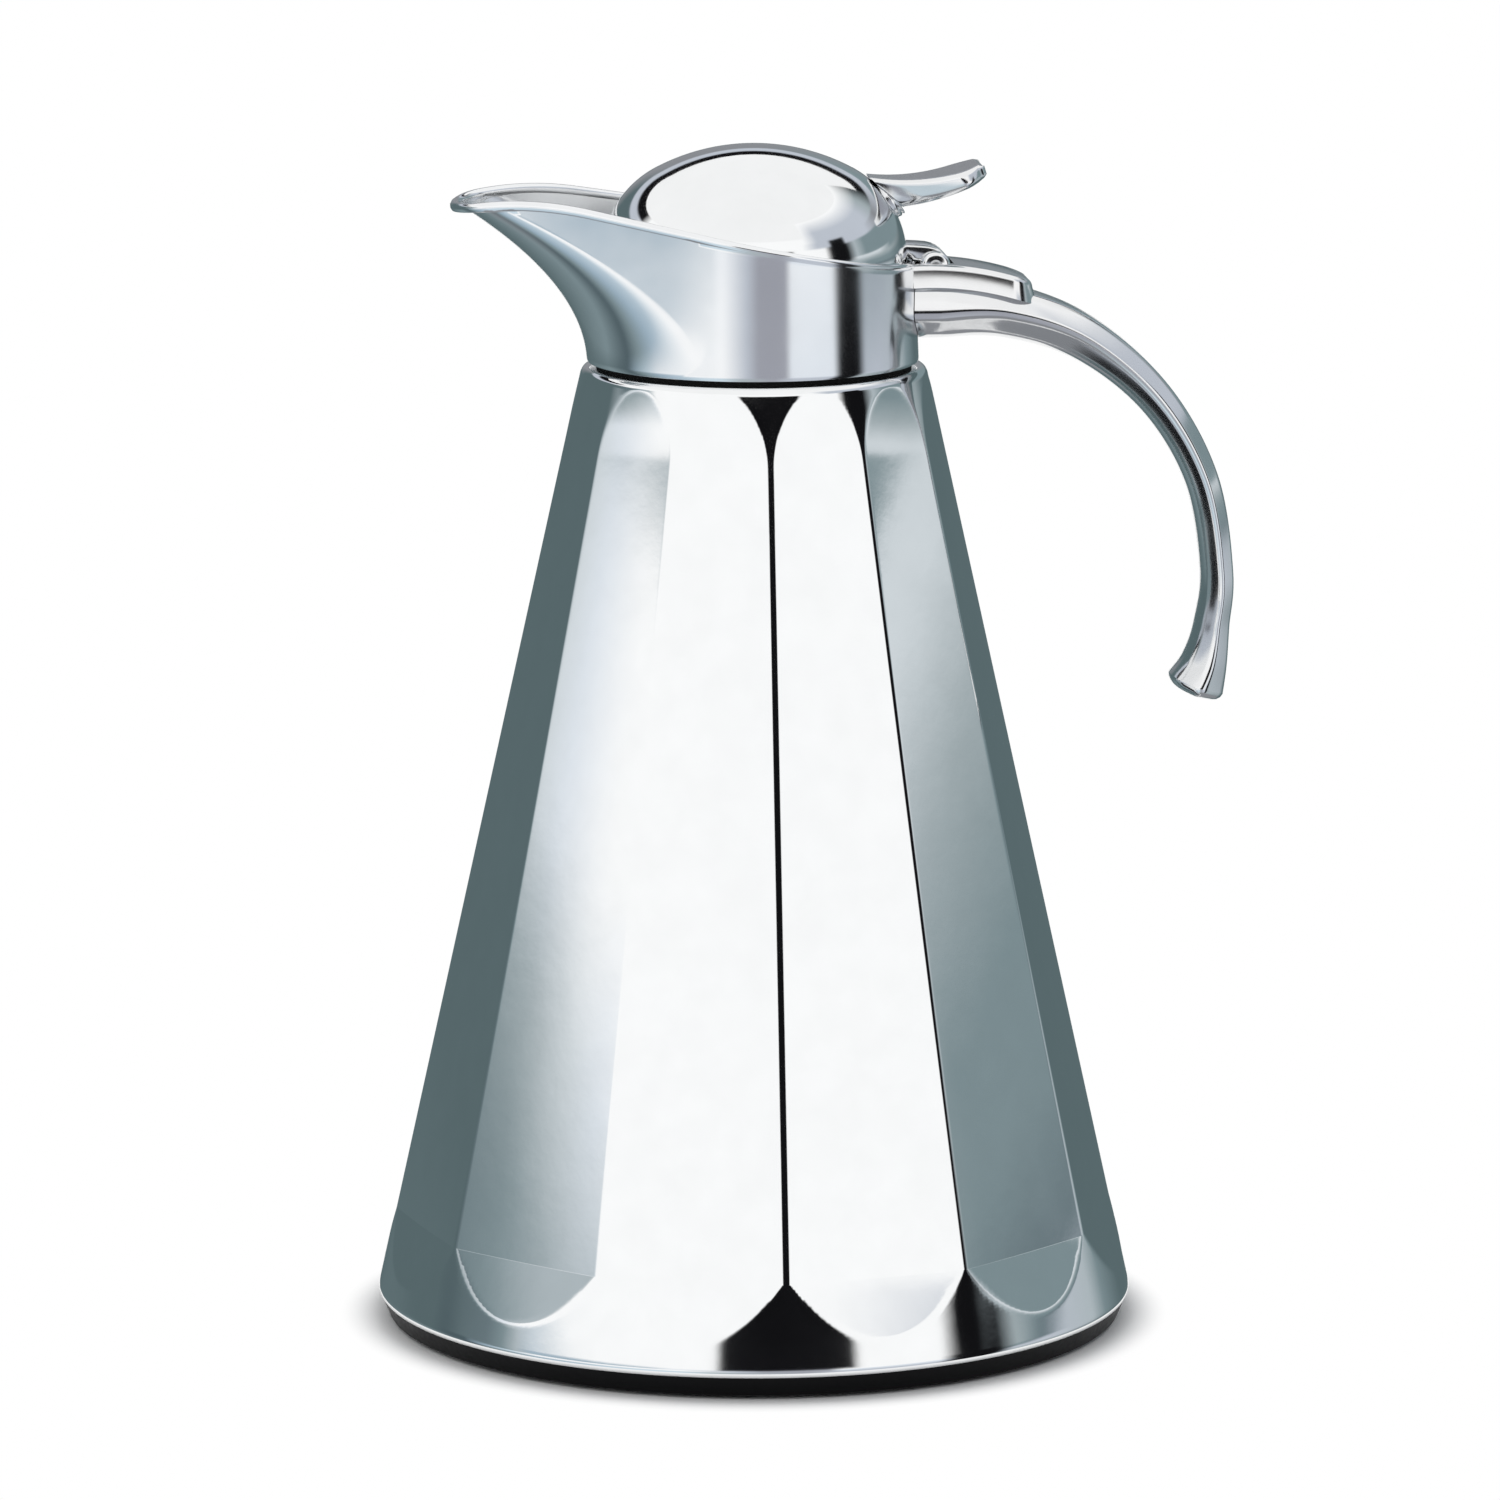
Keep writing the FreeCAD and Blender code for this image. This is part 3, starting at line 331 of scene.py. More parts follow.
def press_tree():
    """Geometry nodes that press the flats into a round cone."""
    tree = bpy.data.node_groups.new("pressed_flats", "GeometryNodeTree")
    sockets = tree.interface
    sockets.new_socket("Geometry", in_out="INPUT", socket_type="NodeSocketGeometry")
    sizes = ["Facets", "Foot radius", "Foot height", "Lean", "Edge strip", "Lower flat", "Lower rise"]
    sizes += ["Lower curve", "Upper flat", "Upper run-out", "Upper tuck", "Edge softness", "Crown"]
    for label in sizes:
        sockets.new_socket(label, in_out="INPUT", socket_type="NodeSocketFloat")
    sockets.new_socket("Finish", in_out="INPUT", socket_type="NodeSocketMaterial")
    sockets.new_socket("Geometry", in_out="OUTPUT", socket_type="NodeSocketGeometry")
    nodes = tree.nodes
    links = tree.links
    given = nodes.new("NodeGroupInput")
    result = nodes.new("NodeGroupOutput")

    def calc(operation, *values):
        """A math node on numbers or other nodes' results."""
        node = nodes.new("ShaderNodeMath")
        node.operation = operation
        for socket, value in zip(node.inputs, values):
            if isinstance(value, (int, float)):
                socket.default_value = value
            else:
                links.new(value, socket)
        return node.outputs[0]

    place = nodes.new("GeometryNodeInputPosition")
    split = nodes.new("ShaderNodeSeparateXYZ")
    links.new(place.outputs[0], split.inputs[0])
    x, y, z = split.outputs
    size = given.outputs
    radius = calc("SQRT", calc("ADD", calc("MULTIPLY", x, x), calc("MULTIPLY", y, y)))
    pitch = calc("DIVIDE", math.tau, size["Facets"])
    half = calc("MULTIPLY", pitch, 0.5)
    across = calc("SUBTRACT", calc("FLOORED_MODULO", calc("ARCTAN2", y, x), pitch), half)
    climb = calc("SUBTRACT", z, size["Foot height"])
    cone = calc("SUBTRACT", size["Foot radius"], calc("MULTIPLY", size["Lean"], climb))
    strip = calc("DIVIDE", calc("MULTIPLY", size["Edge strip"], 0.5), cone)
    flat = calc("MULTIPLY", cone, calc("COSINE", calc("SUBTRACT", half, strip)))
    low = calc("MAXIMUM", calc("SUBTRACT", size["Lower flat"], z), 0.0)
    high = calc("MAXIMUM", calc("SUBTRACT", z, size["Upper flat"]), 0.0)
    low_bow = calc("DIVIDE", calc("MULTIPLY", low, low), calc("MULTIPLY", size["Lower curve"], 2.0))
    low_out = calc("ADD", calc("MULTIPLY", low, size["Lower rise"]), low_bow)
    high_out = calc("DIVIDE", calc("MULTIPLY", high, high), calc("MULTIPLY", size["Upper run-out"], 2.0))
    offset = calc("DIVIDE", across, half)
    swell = calc("MULTIPLY", calc("SUBTRACT", 1.0, calc("MULTIPLY", offset, offset)), size["Crown"])
    raised = calc("MULTIPLY", swell, cone)
    panel = calc("ADD", calc("ADD", flat, raised), calc("ADD", low_out, high_out))
    panel_r = calc("DIVIDE", panel, calc("COSINE", across))
    tuck = calc("DIVIDE", calc("MULTIPLY", high, high), calc("MULTIPLY", size["Upper tuck"], 2.0))
    pressed = calc("SMOOTH_MIN", calc("SUBTRACT", cone, tuck), panel_r, size["Edge softness"])
    depth = calc("SUBTRACT", cone, pressed)
    share = calc("DIVIDE", calc("SUBTRACT", radius, depth), radius)
    joined = nodes.new("ShaderNodeCombineXYZ")
    links.new(calc("MULTIPLY", x, share), joined.inputs[0])
    links.new(calc("MULTIPLY", y, share), joined.inputs[1])
    links.new(z, joined.inputs[2])
    moved = nodes.new("GeometryNodeSetPosition")
    links.new(given.outputs["Geometry"], moved.inputs["Geometry"])
    links.new(joined.outputs[0], moved.inputs["Position"])
    real = nodes.new("GeometryNodeRealizeInstances")
    links.new(moved.outputs["Geometry"], real.inputs["Geometry"])
    finish = nodes.new("GeometryNodeSetMaterial")
    links.new(real.outputs["Geometry"], finish.inputs["Geometry"])
    links.new(given.outputs["Finish"], finish.inputs["Material"])
    links.new(finish.outputs["Geometry"], result.inputs["Geometry"])
    return tree


def apply_tree(piece, tree, values):
    """Run a geometry node tree on a piece and keep its result as a plain mesh."""
    modifier = piece.modifiers.new(tree.name, "NODES")
    modifier.node_group = tree
    for item in tree.interface.items_tree:
        if item.in_out == "INPUT" and item.name in values:
            modifier[item.identifier] = values[item.name]
    graph = bpy.context.evaluated_depsgraph_get()
    mesh = bpy.data.meshes.new_from_object(piece.evaluated_get(graph))
    piece.modifiers.remove(modifier)
    piece.data = mesh


apply_tree(shell, press_tree(), {
    "Facets": float(FACETS),
    "Foot radius": FOOT_R * MM,
    "Foot height": FOOT_Z * MM,
    "Lean": LEAN,
    "Edge strip": 0.7 * MM,
    "Lower flat": LOWER_FLAT * MM,
    "Lower rise": 0.152,
    "Lower curve": 180.0 * MM,
    "Upper flat": UPPER_FLAT * MM,
    "Upper run-out": 120.0 * MM,
    "Upper tuck": 650.0 * MM,
    "Edge softness": 0.1 * MM,
    "Crown": 0.0055,
    "Finish": shell_polish,
})
finish_piece(shell, shell_polish, "pot", "polished_steel", "outer_shell")


# Base cover: one black moulding under the shell, its edge turned up around the rolled foot.
# It is remodelled here to give the edge its true curve.
COVER_R = 75.45
COVER_LOW_R = 74.2
COVER_FOOT = 0.6
COVER_TOP = 5.0
COVER_CORNER = 1.2
COVER_CHAMFER = 0.35
COVER_LIP = 0.3
COVER_LIP_IN = 0.2
COVER_PLATE = 1.0
COVER_TURNS = 192
FLANGE_GAP = 0.3
SEAT_GAP = 0.02
PAD_R = 65.0
PAD_Z = 2.0


def revolve(profile, count):
    """Rings of points about the pot's axis."""
    turns = [math.tau * k / count for k in range(count)]
    return [[Vector((r * math.cos(t), r * math.sin(t), z)) for t in turns] for r, z in profile]


cover_line = [(PAD_R, PAD_Z), (PAD_R, COVER_FOOT), (COVER_LOW_R - COVER_CORNER, COVER_FOOT)]
cover_line += [(COVER_LOW_R - COVER_CHAMFER, COVER_FOOT + COVER_CHAMFER)]
cover_line += [(COVER_LOW_R, COVER_FOOT + COVER_CORNER), (COVER_R, COVER_TOP - COVER_LIP)]
cover_line += [(COVER_R - COVER_LIP_IN, COVER_TOP)]
cover_line += [(FLANGE_R - FLANGE_GAP, FOOT_Z - SEAT_GAP), (FLANGE_R - FLANGE_GAP, PAD_Z + COVER_PLATE)]
cover_rings = [[Vector((0, 0, PAD_Z))]]
cover_rings += revolve(cover_line, COVER_TURNS)
cover_rings.append([Vector((0, 0, PAD_Z + COVER_PLATE))])
cover = skin("base_cover", cover_rings)
finish_piece(cover, satin_black, "pot", "black_plastic", "base_cover")


# Pouring collar: spun steel, round at the back and drawn out into a broad lip at the front.
# Its rim slopes up from the hinge, is rolled over to a bead, and the floor sits on the neck seal.
COLLAR_Z = 194.5
COLLAR_R = 32.8
COLLAR_TAPER = 1.3
COLLAR_WALL = 1.0
COLLAR_FLOOR = 2.2
COLLAR_BORE = 26.7
SKIRT = 0.6
SPOUT_RISE = 32.2
SPOUT_LEAN = 2.5
SPOUT_FLARE = 24.4
SPOUT_TIP_R = 14.0
NOSE_SET = 0.5
RIM_BACK_X = 31.0
RIM_BACK_Z = 214.0
RIM_SLOPE = 0.195
RIM_BEND_X = -34.0
RIM_CREST_R = 62.0
RIM_BEAD = 0.72
LIP_BEAD = 1.1
BEAD_START = 20.0
BEAD_RUN = 60.0
BEAD_FALL = 2.4
BEAD_TURNS = range(-45, 226, 30)
SATIN_RINGS = 3
FOOT_EDGE = 0.5
COLLAR_COLOUR = (0.88, 0.89, 0.90)
SATIN_STEEL = (0.86, 0.87, 0.88)


def back_r(step):
    """Radius of the round back, step from 0 at the floor to 1 at the full rise."""
    return COLLAR_R - COLLAR_TAPER * step


def collar_point(column, step, inset):
    """A point of the level outline: round back, straight side, round nose, mirrored across."""
    part, share, side = column
    reach = SPOUT_LEAN * step + SPOUT_FLARE * step * step
    grown = reach / (SPOUT_LEAN + SPOUT_FLARE)
    root_r = COLLAR_R - NOSE_SET
    nose_r = root_r - (root_r - SPOUT_TIP_R) * grown
    nose_x = COLLAR_R + NOSE_SET + reach - nose_r
    tilt = (back_r(step) - nose_r) / nose_x
    limit = math.acos(-tilt)
    wide = back_r(step) - inset
    nose = nose_r - inset
    back_end = (wide * math.cos(limit), wide * math.sin(limit))
    nose_end = (-nose_x + nose * math.cos(limit), nose * math.sin(limit))
    if part == "back":
        spot = (wide * math.cos(limit * share), wide * math.sin(limit * share))
    elif part == "side":
        spot = tuple(b + (n - b) * share for b, n in zip(back_end, nose_end))
    else:
        turn = limit + (math.pi - limit) * share
        spot = (-nose_x + nose * math.cos(turn), nose * math.sin(turn))
    return Vector((spot[0], side * spot[1], COLLAR_Z + SPOUT_RISE * step))


def rim_height(x):
    """Height of the rim over a point along the pot."""
    bend_z = RIM_BACK_Z + RIM_SLOPE * (RIM_BACK_X - RIM_BEND_X)
    if x > RIM_BEND_X:
        return RIM_BACK_Z + RIM_SLOPE * (RIM_BACK_X - x)
    slope = math.atan(RIM_SLOPE)
    centre_x = RIM_BEND_X - RIM_CREST_R * math.sin(slope)
    centre_z = bend_z - RIM_CREST_R * math.cos(slope)
    return centre_z + math.sqrt(RIM_CREST_R ** 2 - (x - centre_x) ** 2)


RIM_SEARCH = (0.3, 1.2)
RIM_HALVINGS = 40


def rim_step(column, inset):
    """How far up a column of the wall meets the rim."""
    low, high = RIM_SEARCH
    for _ in range(RIM_HALVINGS):
        middle = (low + high) / 2
        spot = collar_point(column, middle, inset)
        if spot.z < rim_height(spot.x):
            low = middle
        else:
            high = middle
    return low


def bead_r(spot):
    """Radius of the rolled rim, fuller towards the lip."""
    share = min(max((BEAD_START - spot.x) / BEAD_RUN, 0.0), 1.0)
    return RIM_BEAD + (LIP_BEAD - RIM_BEAD) * share


BACK_STEPS = 72
SIDE_STEPS = 36
NOSE_STEPS = 40
WALL_ROWS = 44
one_side = [("back", k / BACK_STEPS) for k in range(BACK_STEPS)]
one_side += [("side", k / SIDE_STEPS) for k in range(SIDE_STEPS)]
one_side += [("nose", k / NOSE_STEPS) for k in range(NOSE_STEPS + 1)]
columns = [(part, share, 1) for part, share in one_side]
columns += [(part, share, -1) for part, share in one_side[-2:0:-1]]
tops = [rim_step(column, COLLAR_WALL / 2) for column in columns]
floor_step = COLLAR_FLOOR / SPOUT_RISE
bead_drop = BEAD_FALL * RIM_BEAD / SPOUT_RISE
foot_step = (FOOT_EDGE - SKIRT) / SPOUT_RISE


def wall_ring(start, share, inset):
    """A ring of the wall, share from 0 at its start to 1 below the rolled rim."""
    ring = []
    for column, top in zip(columns, tops):
        ring.append(collar_point(column, start + (top - bead_drop - start) * share, inset))
    return ring


def bead_ring(degrees):
    """A ring on the rolled rim, in degrees round the bead from its outward side."""
    angle = math.radians(degrees)
    ring = []
    for column, top in zip(columns, tops):
        middle = collar_point(column, top, COLLAR_WALL / 2)
        outward = collar_point(column, top, 0.0) - collar_point(column, top, COLLAR_WALL)
        outward.normalize()
        bead = bead_r(middle)
        lift = Vector((0, 0, bead * (math.sin(angle) - 1)))
        ring.append(middle + outward * bead * math.cos(angle) + lift)
    return ring


def bore_ring(z):
    """A round ring of the bore, one point to each column of the wall."""
    ring = []
    for column in columns:
        spot = collar_point(column, 0.0, 0.0)
        ring.append(Vector((spot.x, spot.y, 0)).normalized() * COLLAR_BORE + Vector((0, 0, z)))
    return ring


collar_rings = []
for drop, inset in ((1.0, 1.0), (0.7, 0.3)):
    step = foot_step - drop * FOOT_EDGE / SPOUT_RISE
    collar_rings.append([collar_point(column, step, inset * FOOT_EDGE) for column in columns])
collar_rings += [wall_ring(foot_step, row / WALL_ROWS, 0.0) for row in range(WALL_ROWS + 1)]
collar_rings += [bead_ring(turn) for turn in BEAD_TURNS]
satin_start = len(collar_rings) - SATIN_RINGS
collar_rings += [wall_ring(floor_step, 1 - row / WALL_ROWS, COLLAR_WALL) for row in range(WALL_ROWS + 1)]
collar_rings += [bore_ring(COLLAR_Z + COLLAR_FLOOR), bore_ring(COLLAR_Z)]
collar = skin("spout_collar", collar_rings, closed=True)
collar_polish = mirror_metal("polished_collar_steel", COLLAR_COLOUR, smooth=0.09, hazy=0.15, wave=0.03)
finish_piece(collar, collar_polish, "pot", "polished_steel", "spout_collar")
collar_satin = mirror_metal("satin_collar_inside", SATIN_STEEL, smooth=0.26, hazy=0.36, wave=0.03)
collar.data.materials.append(collar_satin)
for face in collar.data.polygons[satin_start * len(columns):]:
    face.material_index = 1


# Handle: a polished casting that leaves the collar level, arches over and ends in a flared hoof.
# Its outer face is flat, its sides are upright and its inner face is drawn in like a keel.
HANDLE_X = 38.6
HANDLE_Z = 150.5
HANDLE_R = 54.35
HALF_WIDTH = 8.0
ROOT_GAP = 0.1
ROOT_STEP = 0.28
ROOT_Z = 203.5
KEEL_SHARE = 0.5
EDGE_EASE = 0.24
KEEL_EASE = 0.4
EASE_STEPS = 6
END_ROUND = ((0.2, 0.7), (0.7, 1.3), (1.5, 1.75), (2.5, 1.95))
END_REACH = 2.0
HANDLE_ROWS = 110
CASTING_COLOUR = (0.85, 0.855, 0.86)
# Degrees over the arch, half depth, breadth, height of the side crease, height and width of the crown
arch = [(-3, 6.6, 1.26, -0.25, 0.74, 0.79), (12, 5.6, 1.2, -0.05, 0.84, 0.74)]
arch += [(30, 4.5, 1.08, 0.12, 1.0, 0.62), (50, 3.7, 1.02, 0.1, 1.0, 0.6)]
arch += [(70, 3.25, 1.0, 0.1, 1.0, 0.6), (90, 3.1, 1.0, 0.1, 1.0, 0.6)]
# Place past the arch, degrees, half depth, breadth and height of the side crease
tail = [(-0.9, -11.0, 94, 3.3, 1.05, 0.1), (-2.2, -18.0, 101, 4.2, 1.14, 0.1)]
tail += [(-4.0, -23.0, 109, 5.4, 1.26, 0.0)]
TAIL_CROWN = (1.0, 0.6)
stations = []
for degrees, thick, broad, crease, rise, crown in arch:
    turn = math.radians(degrees)
    spot = (HANDLE_X + HANDLE_R * math.sin(turn), HANDLE_Z + HANDLE_R * math.cos(turn))
    stations.append((*spot, degrees, thick, broad * HALF_WIDTH, crease, rise, crown))
for dx, dz, degrees, thick, broad, crease in tail:
    spot = (HANDLE_X + HANDLE_R + dx, HANDLE_Z + dz)
    stations.append((*spot, degrees, thick, broad * HALF_WIDTH, crease, *TAIL_CROWN))


def smooth_between(rows, share):
    """A Catmull-Rom value through rows of numbers, share from 0 to 1."""
    place = share * (len(rows) - 1)
    k = min(int(place), len(rows) - 2)
    t = place - k
    before = rows[max(k - 1, 0)]
    after = rows[min(k + 2, len(rows) - 1)]
    values = []
    for p0, p1, p2, p3 in zip(before, rows[k], rows[k + 1], after):
        bend = 2 * p0 - 5 * p1 + 4 * p2 - p3
        twist = 3 * p1 - p0 - 3 * p2 + p3
        values.append(0.5 * (2 * p1 + (p2 - p0) * t + bend * t * t + twist * t ** 3))
    return values


def soft_outline(corners, rounding, samples):
    """A closed outline with each corner rounded by a short curve."""
    points = []
    for k, corner in enumerate(corners):
        here = Vector(corner)
        start = here + (Vector(corners[k - 1]) - here) * rounding[k]
        end = here + (Vector(corners[(k + 1) % len(corners)]) - here) * rounding[k]
        for s in range(samples + 1):
            t = s / samples
            points.append(start * (1 - t) ** 2 + here * 2 * t * (1 - t) + end * t * t)
    return points


def handle_ring(station, shrink=0.0, forward=0.0):
    """One rounded section of the handle at a station."""
    x, z, degrees, thick, half, crease, rise, crown = station
    turn = math.radians(degrees)
    out = Vector((math.sin(turn), 0, math.cos(turn)))
    along = Vector((math.cos(turn), 0, -math.sin(turn)))
    t = thick - shrink
    b = half - shrink
    top = t * rise
    flat = b * crown
    keel = b * KEEL_SHARE
    corners = [(top, flat), (t * crease, b), (-t, keel), (-t, -keel), (t * crease, -b), (top, -flat)]
    rounding = [EDGE_EASE, EDGE_EASE, KEEL_EASE, KEEL_EASE, EDGE_EASE, EDGE_EASE]
    outline = soft_outline([(n, y, 0) for n, y in corners], rounding, EASE_STEPS)
    middle = Vector((x, 0, z)) + along * forward
    return [middle + out * p.x + Vector((0, p.y, 0)) for p in outline]


root_ring = []
for p in handle_ring(stations[0]):
    wall_r = back_r((p.z - COLLAR_Z) / SPOUT_RISE) + ROOT_GAP
    root_ring.append(Vector((math.sqrt(wall_r ** 2 - p.y ** 2), p.y, p.z)))
handle_rings = [[Vector((back_r(ROOT_STEP) + ROOT_GAP, 0, ROOT_Z))], root_ring]
for row in range(HANDLE_ROWS + 1):
    handle_rings.append(handle_ring(smooth_between(stations, row / HANDLE_ROWS)))
end_x, end_z, end_degrees = stations[-1][:3]
for shrink, forward in END_ROUND:
    handle_rings.append(handle_ring(stations[-1], shrink, forward))
end_turn = math.radians(end_degrees)
end_middle = Vector((end_x + END_REACH * math.cos(end_turn), 0, end_z - END_REACH * math.sin(end_turn)))
handle_rings.append([end_middle])
handle = skin("handle", handle_rings[::-1])
handle_polish = mirror_metal("polished_casting", CASTING_COLOUR, smooth=0.09, hazy=0.16, wave=0.05)
finish_piece(handle, handle_polish, "pot", "polished_casting", "handle", sharp=50)


# Hinge block: the casting's flat top behind the collar, with two knuckles that carry the pin.
# It is one piece with the handle, so it takes the same polish and its edges are eased.
HINGE_X = 35.6
HINGE_Z = 213.0
KNUCKLE_R = 3.0
BLOCK_HALF = 9.3
BLOCK_BACK = 56.1
BLOCK_CORNER = 5.5
BLOCK_ROUND = 1.2
BLOCK_TALL = 4.4
BLOCK_TAPER = 1.0
BLOCK_ARC_X = 34.2
BLOCK_ARC_Z = 153.49
BLOCK_ARC_R = 60.0
SIDE_PARTS = 8
CORNER_PARTS = 12
ROUND_STEPS = 6
EASE_SHARE = 0.3
KNUCKLE_EASE = 0.9
KNUCKLE_STEPS = 48
EAR_HALF = 6.6
EAR_INNER = 4.5
EAR_FRONT = 30.9
SLOT_BACK = 39.4
SLOT_STEPS = 8


def block_top(x):
    """Height of the block's gently curved top."""
    return BLOCK_ARC_Z + math.sqrt(BLOCK_ARC_R ** 2 - (x - BLOCK_ARC_X) ** 2)


def inward(outline, amount):
    """An outline moved inwards with square corners kept, for one drawn anticlockwise."""
    moved = []
    for k, here in enumerate(outline):
        before = (Vector(here) - Vector(outline[k - 1])).normalized()
        after = (Vector(outline[(k + 1) % len(outline)]) - Vector(here)).normalized()
        side = Vector((-before.y - after.y, before.x + after.x)) / (1 + before.dot(after))
        moved.append(Vector(here) + side * amount)
    return moved


def cap_ends(piece, count, last_faces=None):
    """Close the first ring of a mesh with a flat face and the last with one face or the given ones."""
    mesh = piece.data
    points = [tuple(v.co) for v in mesh.vertices]
    faces = [tuple(f.vertices) for f in mesh.polygons]
    faces.append(tuple(range(count))[::-1])
    last = len(points) - count
    for face in last_faces or [tuple(range(count))]:
        faces.append(tuple(last + k for k in face))
    closed = bpy.data.meshes.new(piece.name)
    closed.from_pydata(points, [], faces)
    closed.update()
    piece.data = closed
    return piece


def slab(name, outline, low, high, ease):
    """An outline in the upright plane given a width across the pot, with eased edges."""
    soft = ease * EASE_SHARE
    levels = [(low, ease), (low + soft, soft), (low + ease, 0.0)]
    levels += [(high - ease, 0.0), (high - soft, soft), (high, ease)]
    rings = []
    for y, amount in levels:
        rings.append([Vector((p.x, y, p.y)) for p in inward(outline, amount)])
    piece = skin(name, rings[::-1])
    return cap_ends(piece, len(outline))


slot_line = [EAR_FRONT + (SLOT_BACK - EAR_FRONT) * k / SLOT_STEPS for k in range(SLOT_STEPS + 1)]
near = [(x, -BLOCK_HALF) for x in slot_line]
near += run(near[-1], (BLOCK_BACK - BLOCK_CORNER, -BLOCK_HALF), SIDE_PARTS)[:-1]
near += arc(BLOCK_BACK - BLOCK_CORNER, BLOCK_CORNER - BLOCK_HALF, BLOCK_CORNER, -90, 0, CORNER_PARTS)
outer = [Vector(p) for p in near + [(x, -y) for x, y in near[::-1]]]
slot = [Vector((x, EAR_INNER)) for x in slot_line] + [Vector((x, -EAR_INNER)) for x in slot_line[::-1]]
block_rings = [[(p.x, p.y, block_top(p.x) - BLOCK_TALL) for p in outer + slot]]
for step in range(ROUND_STEPS + 1):
    turn = math.radians(90 * step / ROUND_STEPS)
    moved = inward(outer, BLOCK_TAPER + BLOCK_ROUND * (1 - math.cos(turn)))
    moved[0].x = EAR_FRONT
    moved[-1].x = EAR_FRONT
    drop = BLOCK_ROUND * (1 - math.sin(turn))
    ring = [(p.x, p.y, block_top(p.x) - drop) for p in moved]
    ring += [(p.x, p.y, block_top(p.x) - BLOCK_ROUND * (1 - step / ROUND_STEPS)) for p in slot]
    block_rings.append(ring)
# The curved top is split into strips across the block, with the slot left open between the ears
total = len(outer)
top_faces = []
for k in range(SLOT_STEPS):
    inner = total + 2 * SLOT_STEPS + 1 - k
    top_faces.append((k, k + 1, inner - 1, inner))
    top_faces.append((total - 2 - k, total - 1 - k, total + k, total + k + 1))
k = SLOT_STEPS
top_faces.append((k, k + 1, total - 2 - k, total - 1 - k, total + k, total + k + 1))
for k in range(SLOT_STEPS + 1, total // 2 - 1):
    top_faces.append((k, k + 1, total - 2 - k, total - 1 - k))
block = cap_ends(skin("hinge_block", block_rings), total + len(slot), top_faces)
finish_piece(block, handle_polish, "pot", "polished_casting", sharp=50)
barrel_line = [Vector(p) for p in arc(HINGE_X, HINGE_Z, KNUCKLE_R, 0, 360, KNUCKLE_STEPS)[:-1]]
for side in (-1, 1):
    low, high = sorted((EAR_INNER * side, EAR_HALF * side))
    knuckle = slab("hinge_knuckle", barrel_line, low, high, KNUCKLE_EASE)
    finish_piece(knuckle, handle_polish, "pot", "polished_casting", sharp=50)


# Hinge pin: a steel rod through the knuckles, its ends peened to low domes.
# Turned steel, like the other small parts.
PIN_R = 1.5
PIN_HALF = 6.4
PIN_CROWN = 0.42
PIN_DOME = [(0.35, 0.9), (0.2, 1.3), (0.0, PIN_R)]
PIN_STEPS = 36
pin_turns = [math.radians(360 / PIN_STEPS * k) for k in range(PIN_STEPS)]
pin_profile = [(-PIN_HALF - rise, r) for rise, r in PIN_DOME]
pin_profile += [(-y, r) for y, r in pin_profile[::-1]]
pin_rings = [[Vector((HINGE_X, -PIN_HALF - PIN_CROWN, HINGE_Z))]]
for y, r in pin_profile:
    pin_rings.append([Vector((HINGE_X + r * math.cos(t), y, HINGE_Z - r * math.sin(t))) for t in pin_turns])
pin_rings.append([Vector((HINGE_X, PIN_HALF + PIN_CROWN, HINGE_Z))])
pin = skin("hinge_pin", pin_rings)
finish_piece(pin, plain_steel, "pot", "brushed_steel", "hinge_pin", sharp=50)


# Lid dome: spun polished steel, a flat crown with a tighter turn down to a short upright edge.
# It drops inside the back of the collar, so only a thin gap shows around it.
DOME_R = 30.4
DOME_EDGE = 211.5
DOME_TURN_Z = 214.3
DOME_TURN_R = 20.0
DOME_CROWN_R = 42.0
DOME_CROWN_Z = 194.91
DOME_MEET = 61.775
DOME_WALL = 0.9
DOME_EASE = 0.3
DOME_STEPS = 216
TURN_STEPS = 40
CROWN_STEPS = 30
CROWN_END = 89.0


def dome_profile(inset):
    """One face of the dome, from its edge to beside the pole."""
    turn_x = DOME_R - DOME_TURN_R
    points = arc(turn_x, DOME_TURN_Z, DOME_TURN_R - inset, 0, DOME_MEET, TURN_STEPS)
    points += arc(0, DOME_CROWN_Z, DOME_CROWN_R - inset, DOME_MEET, CROWN_END, CROWN_STEPS)[1:]
    return points


dome_rim = [(DOME_R - DOME_WALL, DOME_EDGE + DOME_EASE), (DOME_R - DOME_WALL + DOME_EASE, DOME_EDGE)]
dome_rim += [(DOME_R - DOME_EASE, DOME_EDGE), (DOME_R, DOME_EDGE + DOME_EASE)]
dome_line = dome_profile(DOME_WALL)[::-1] + dome_rim + dome_profile(0.0)
dome_rings = revolve(dome_line, DOME_STEPS)
dome_rings.insert(0, [Vector((0, 0, DOME_CROWN_Z + DOME_CROWN_R - DOME_WALL))])
dome_rings.append([Vector((0, 0, DOME_CROWN_Z + DOME_CROWN_R))])
dome = skin("lid_dome", dome_rings)
dome_polish = mirror_metal("polished_dome_steel", SHEET_COLOUR, smooth=0.04, hazy=0.09, wave=0.05)
finish_piece(dome, dome_polish, "lid", "polished_steel", "lid_dome")


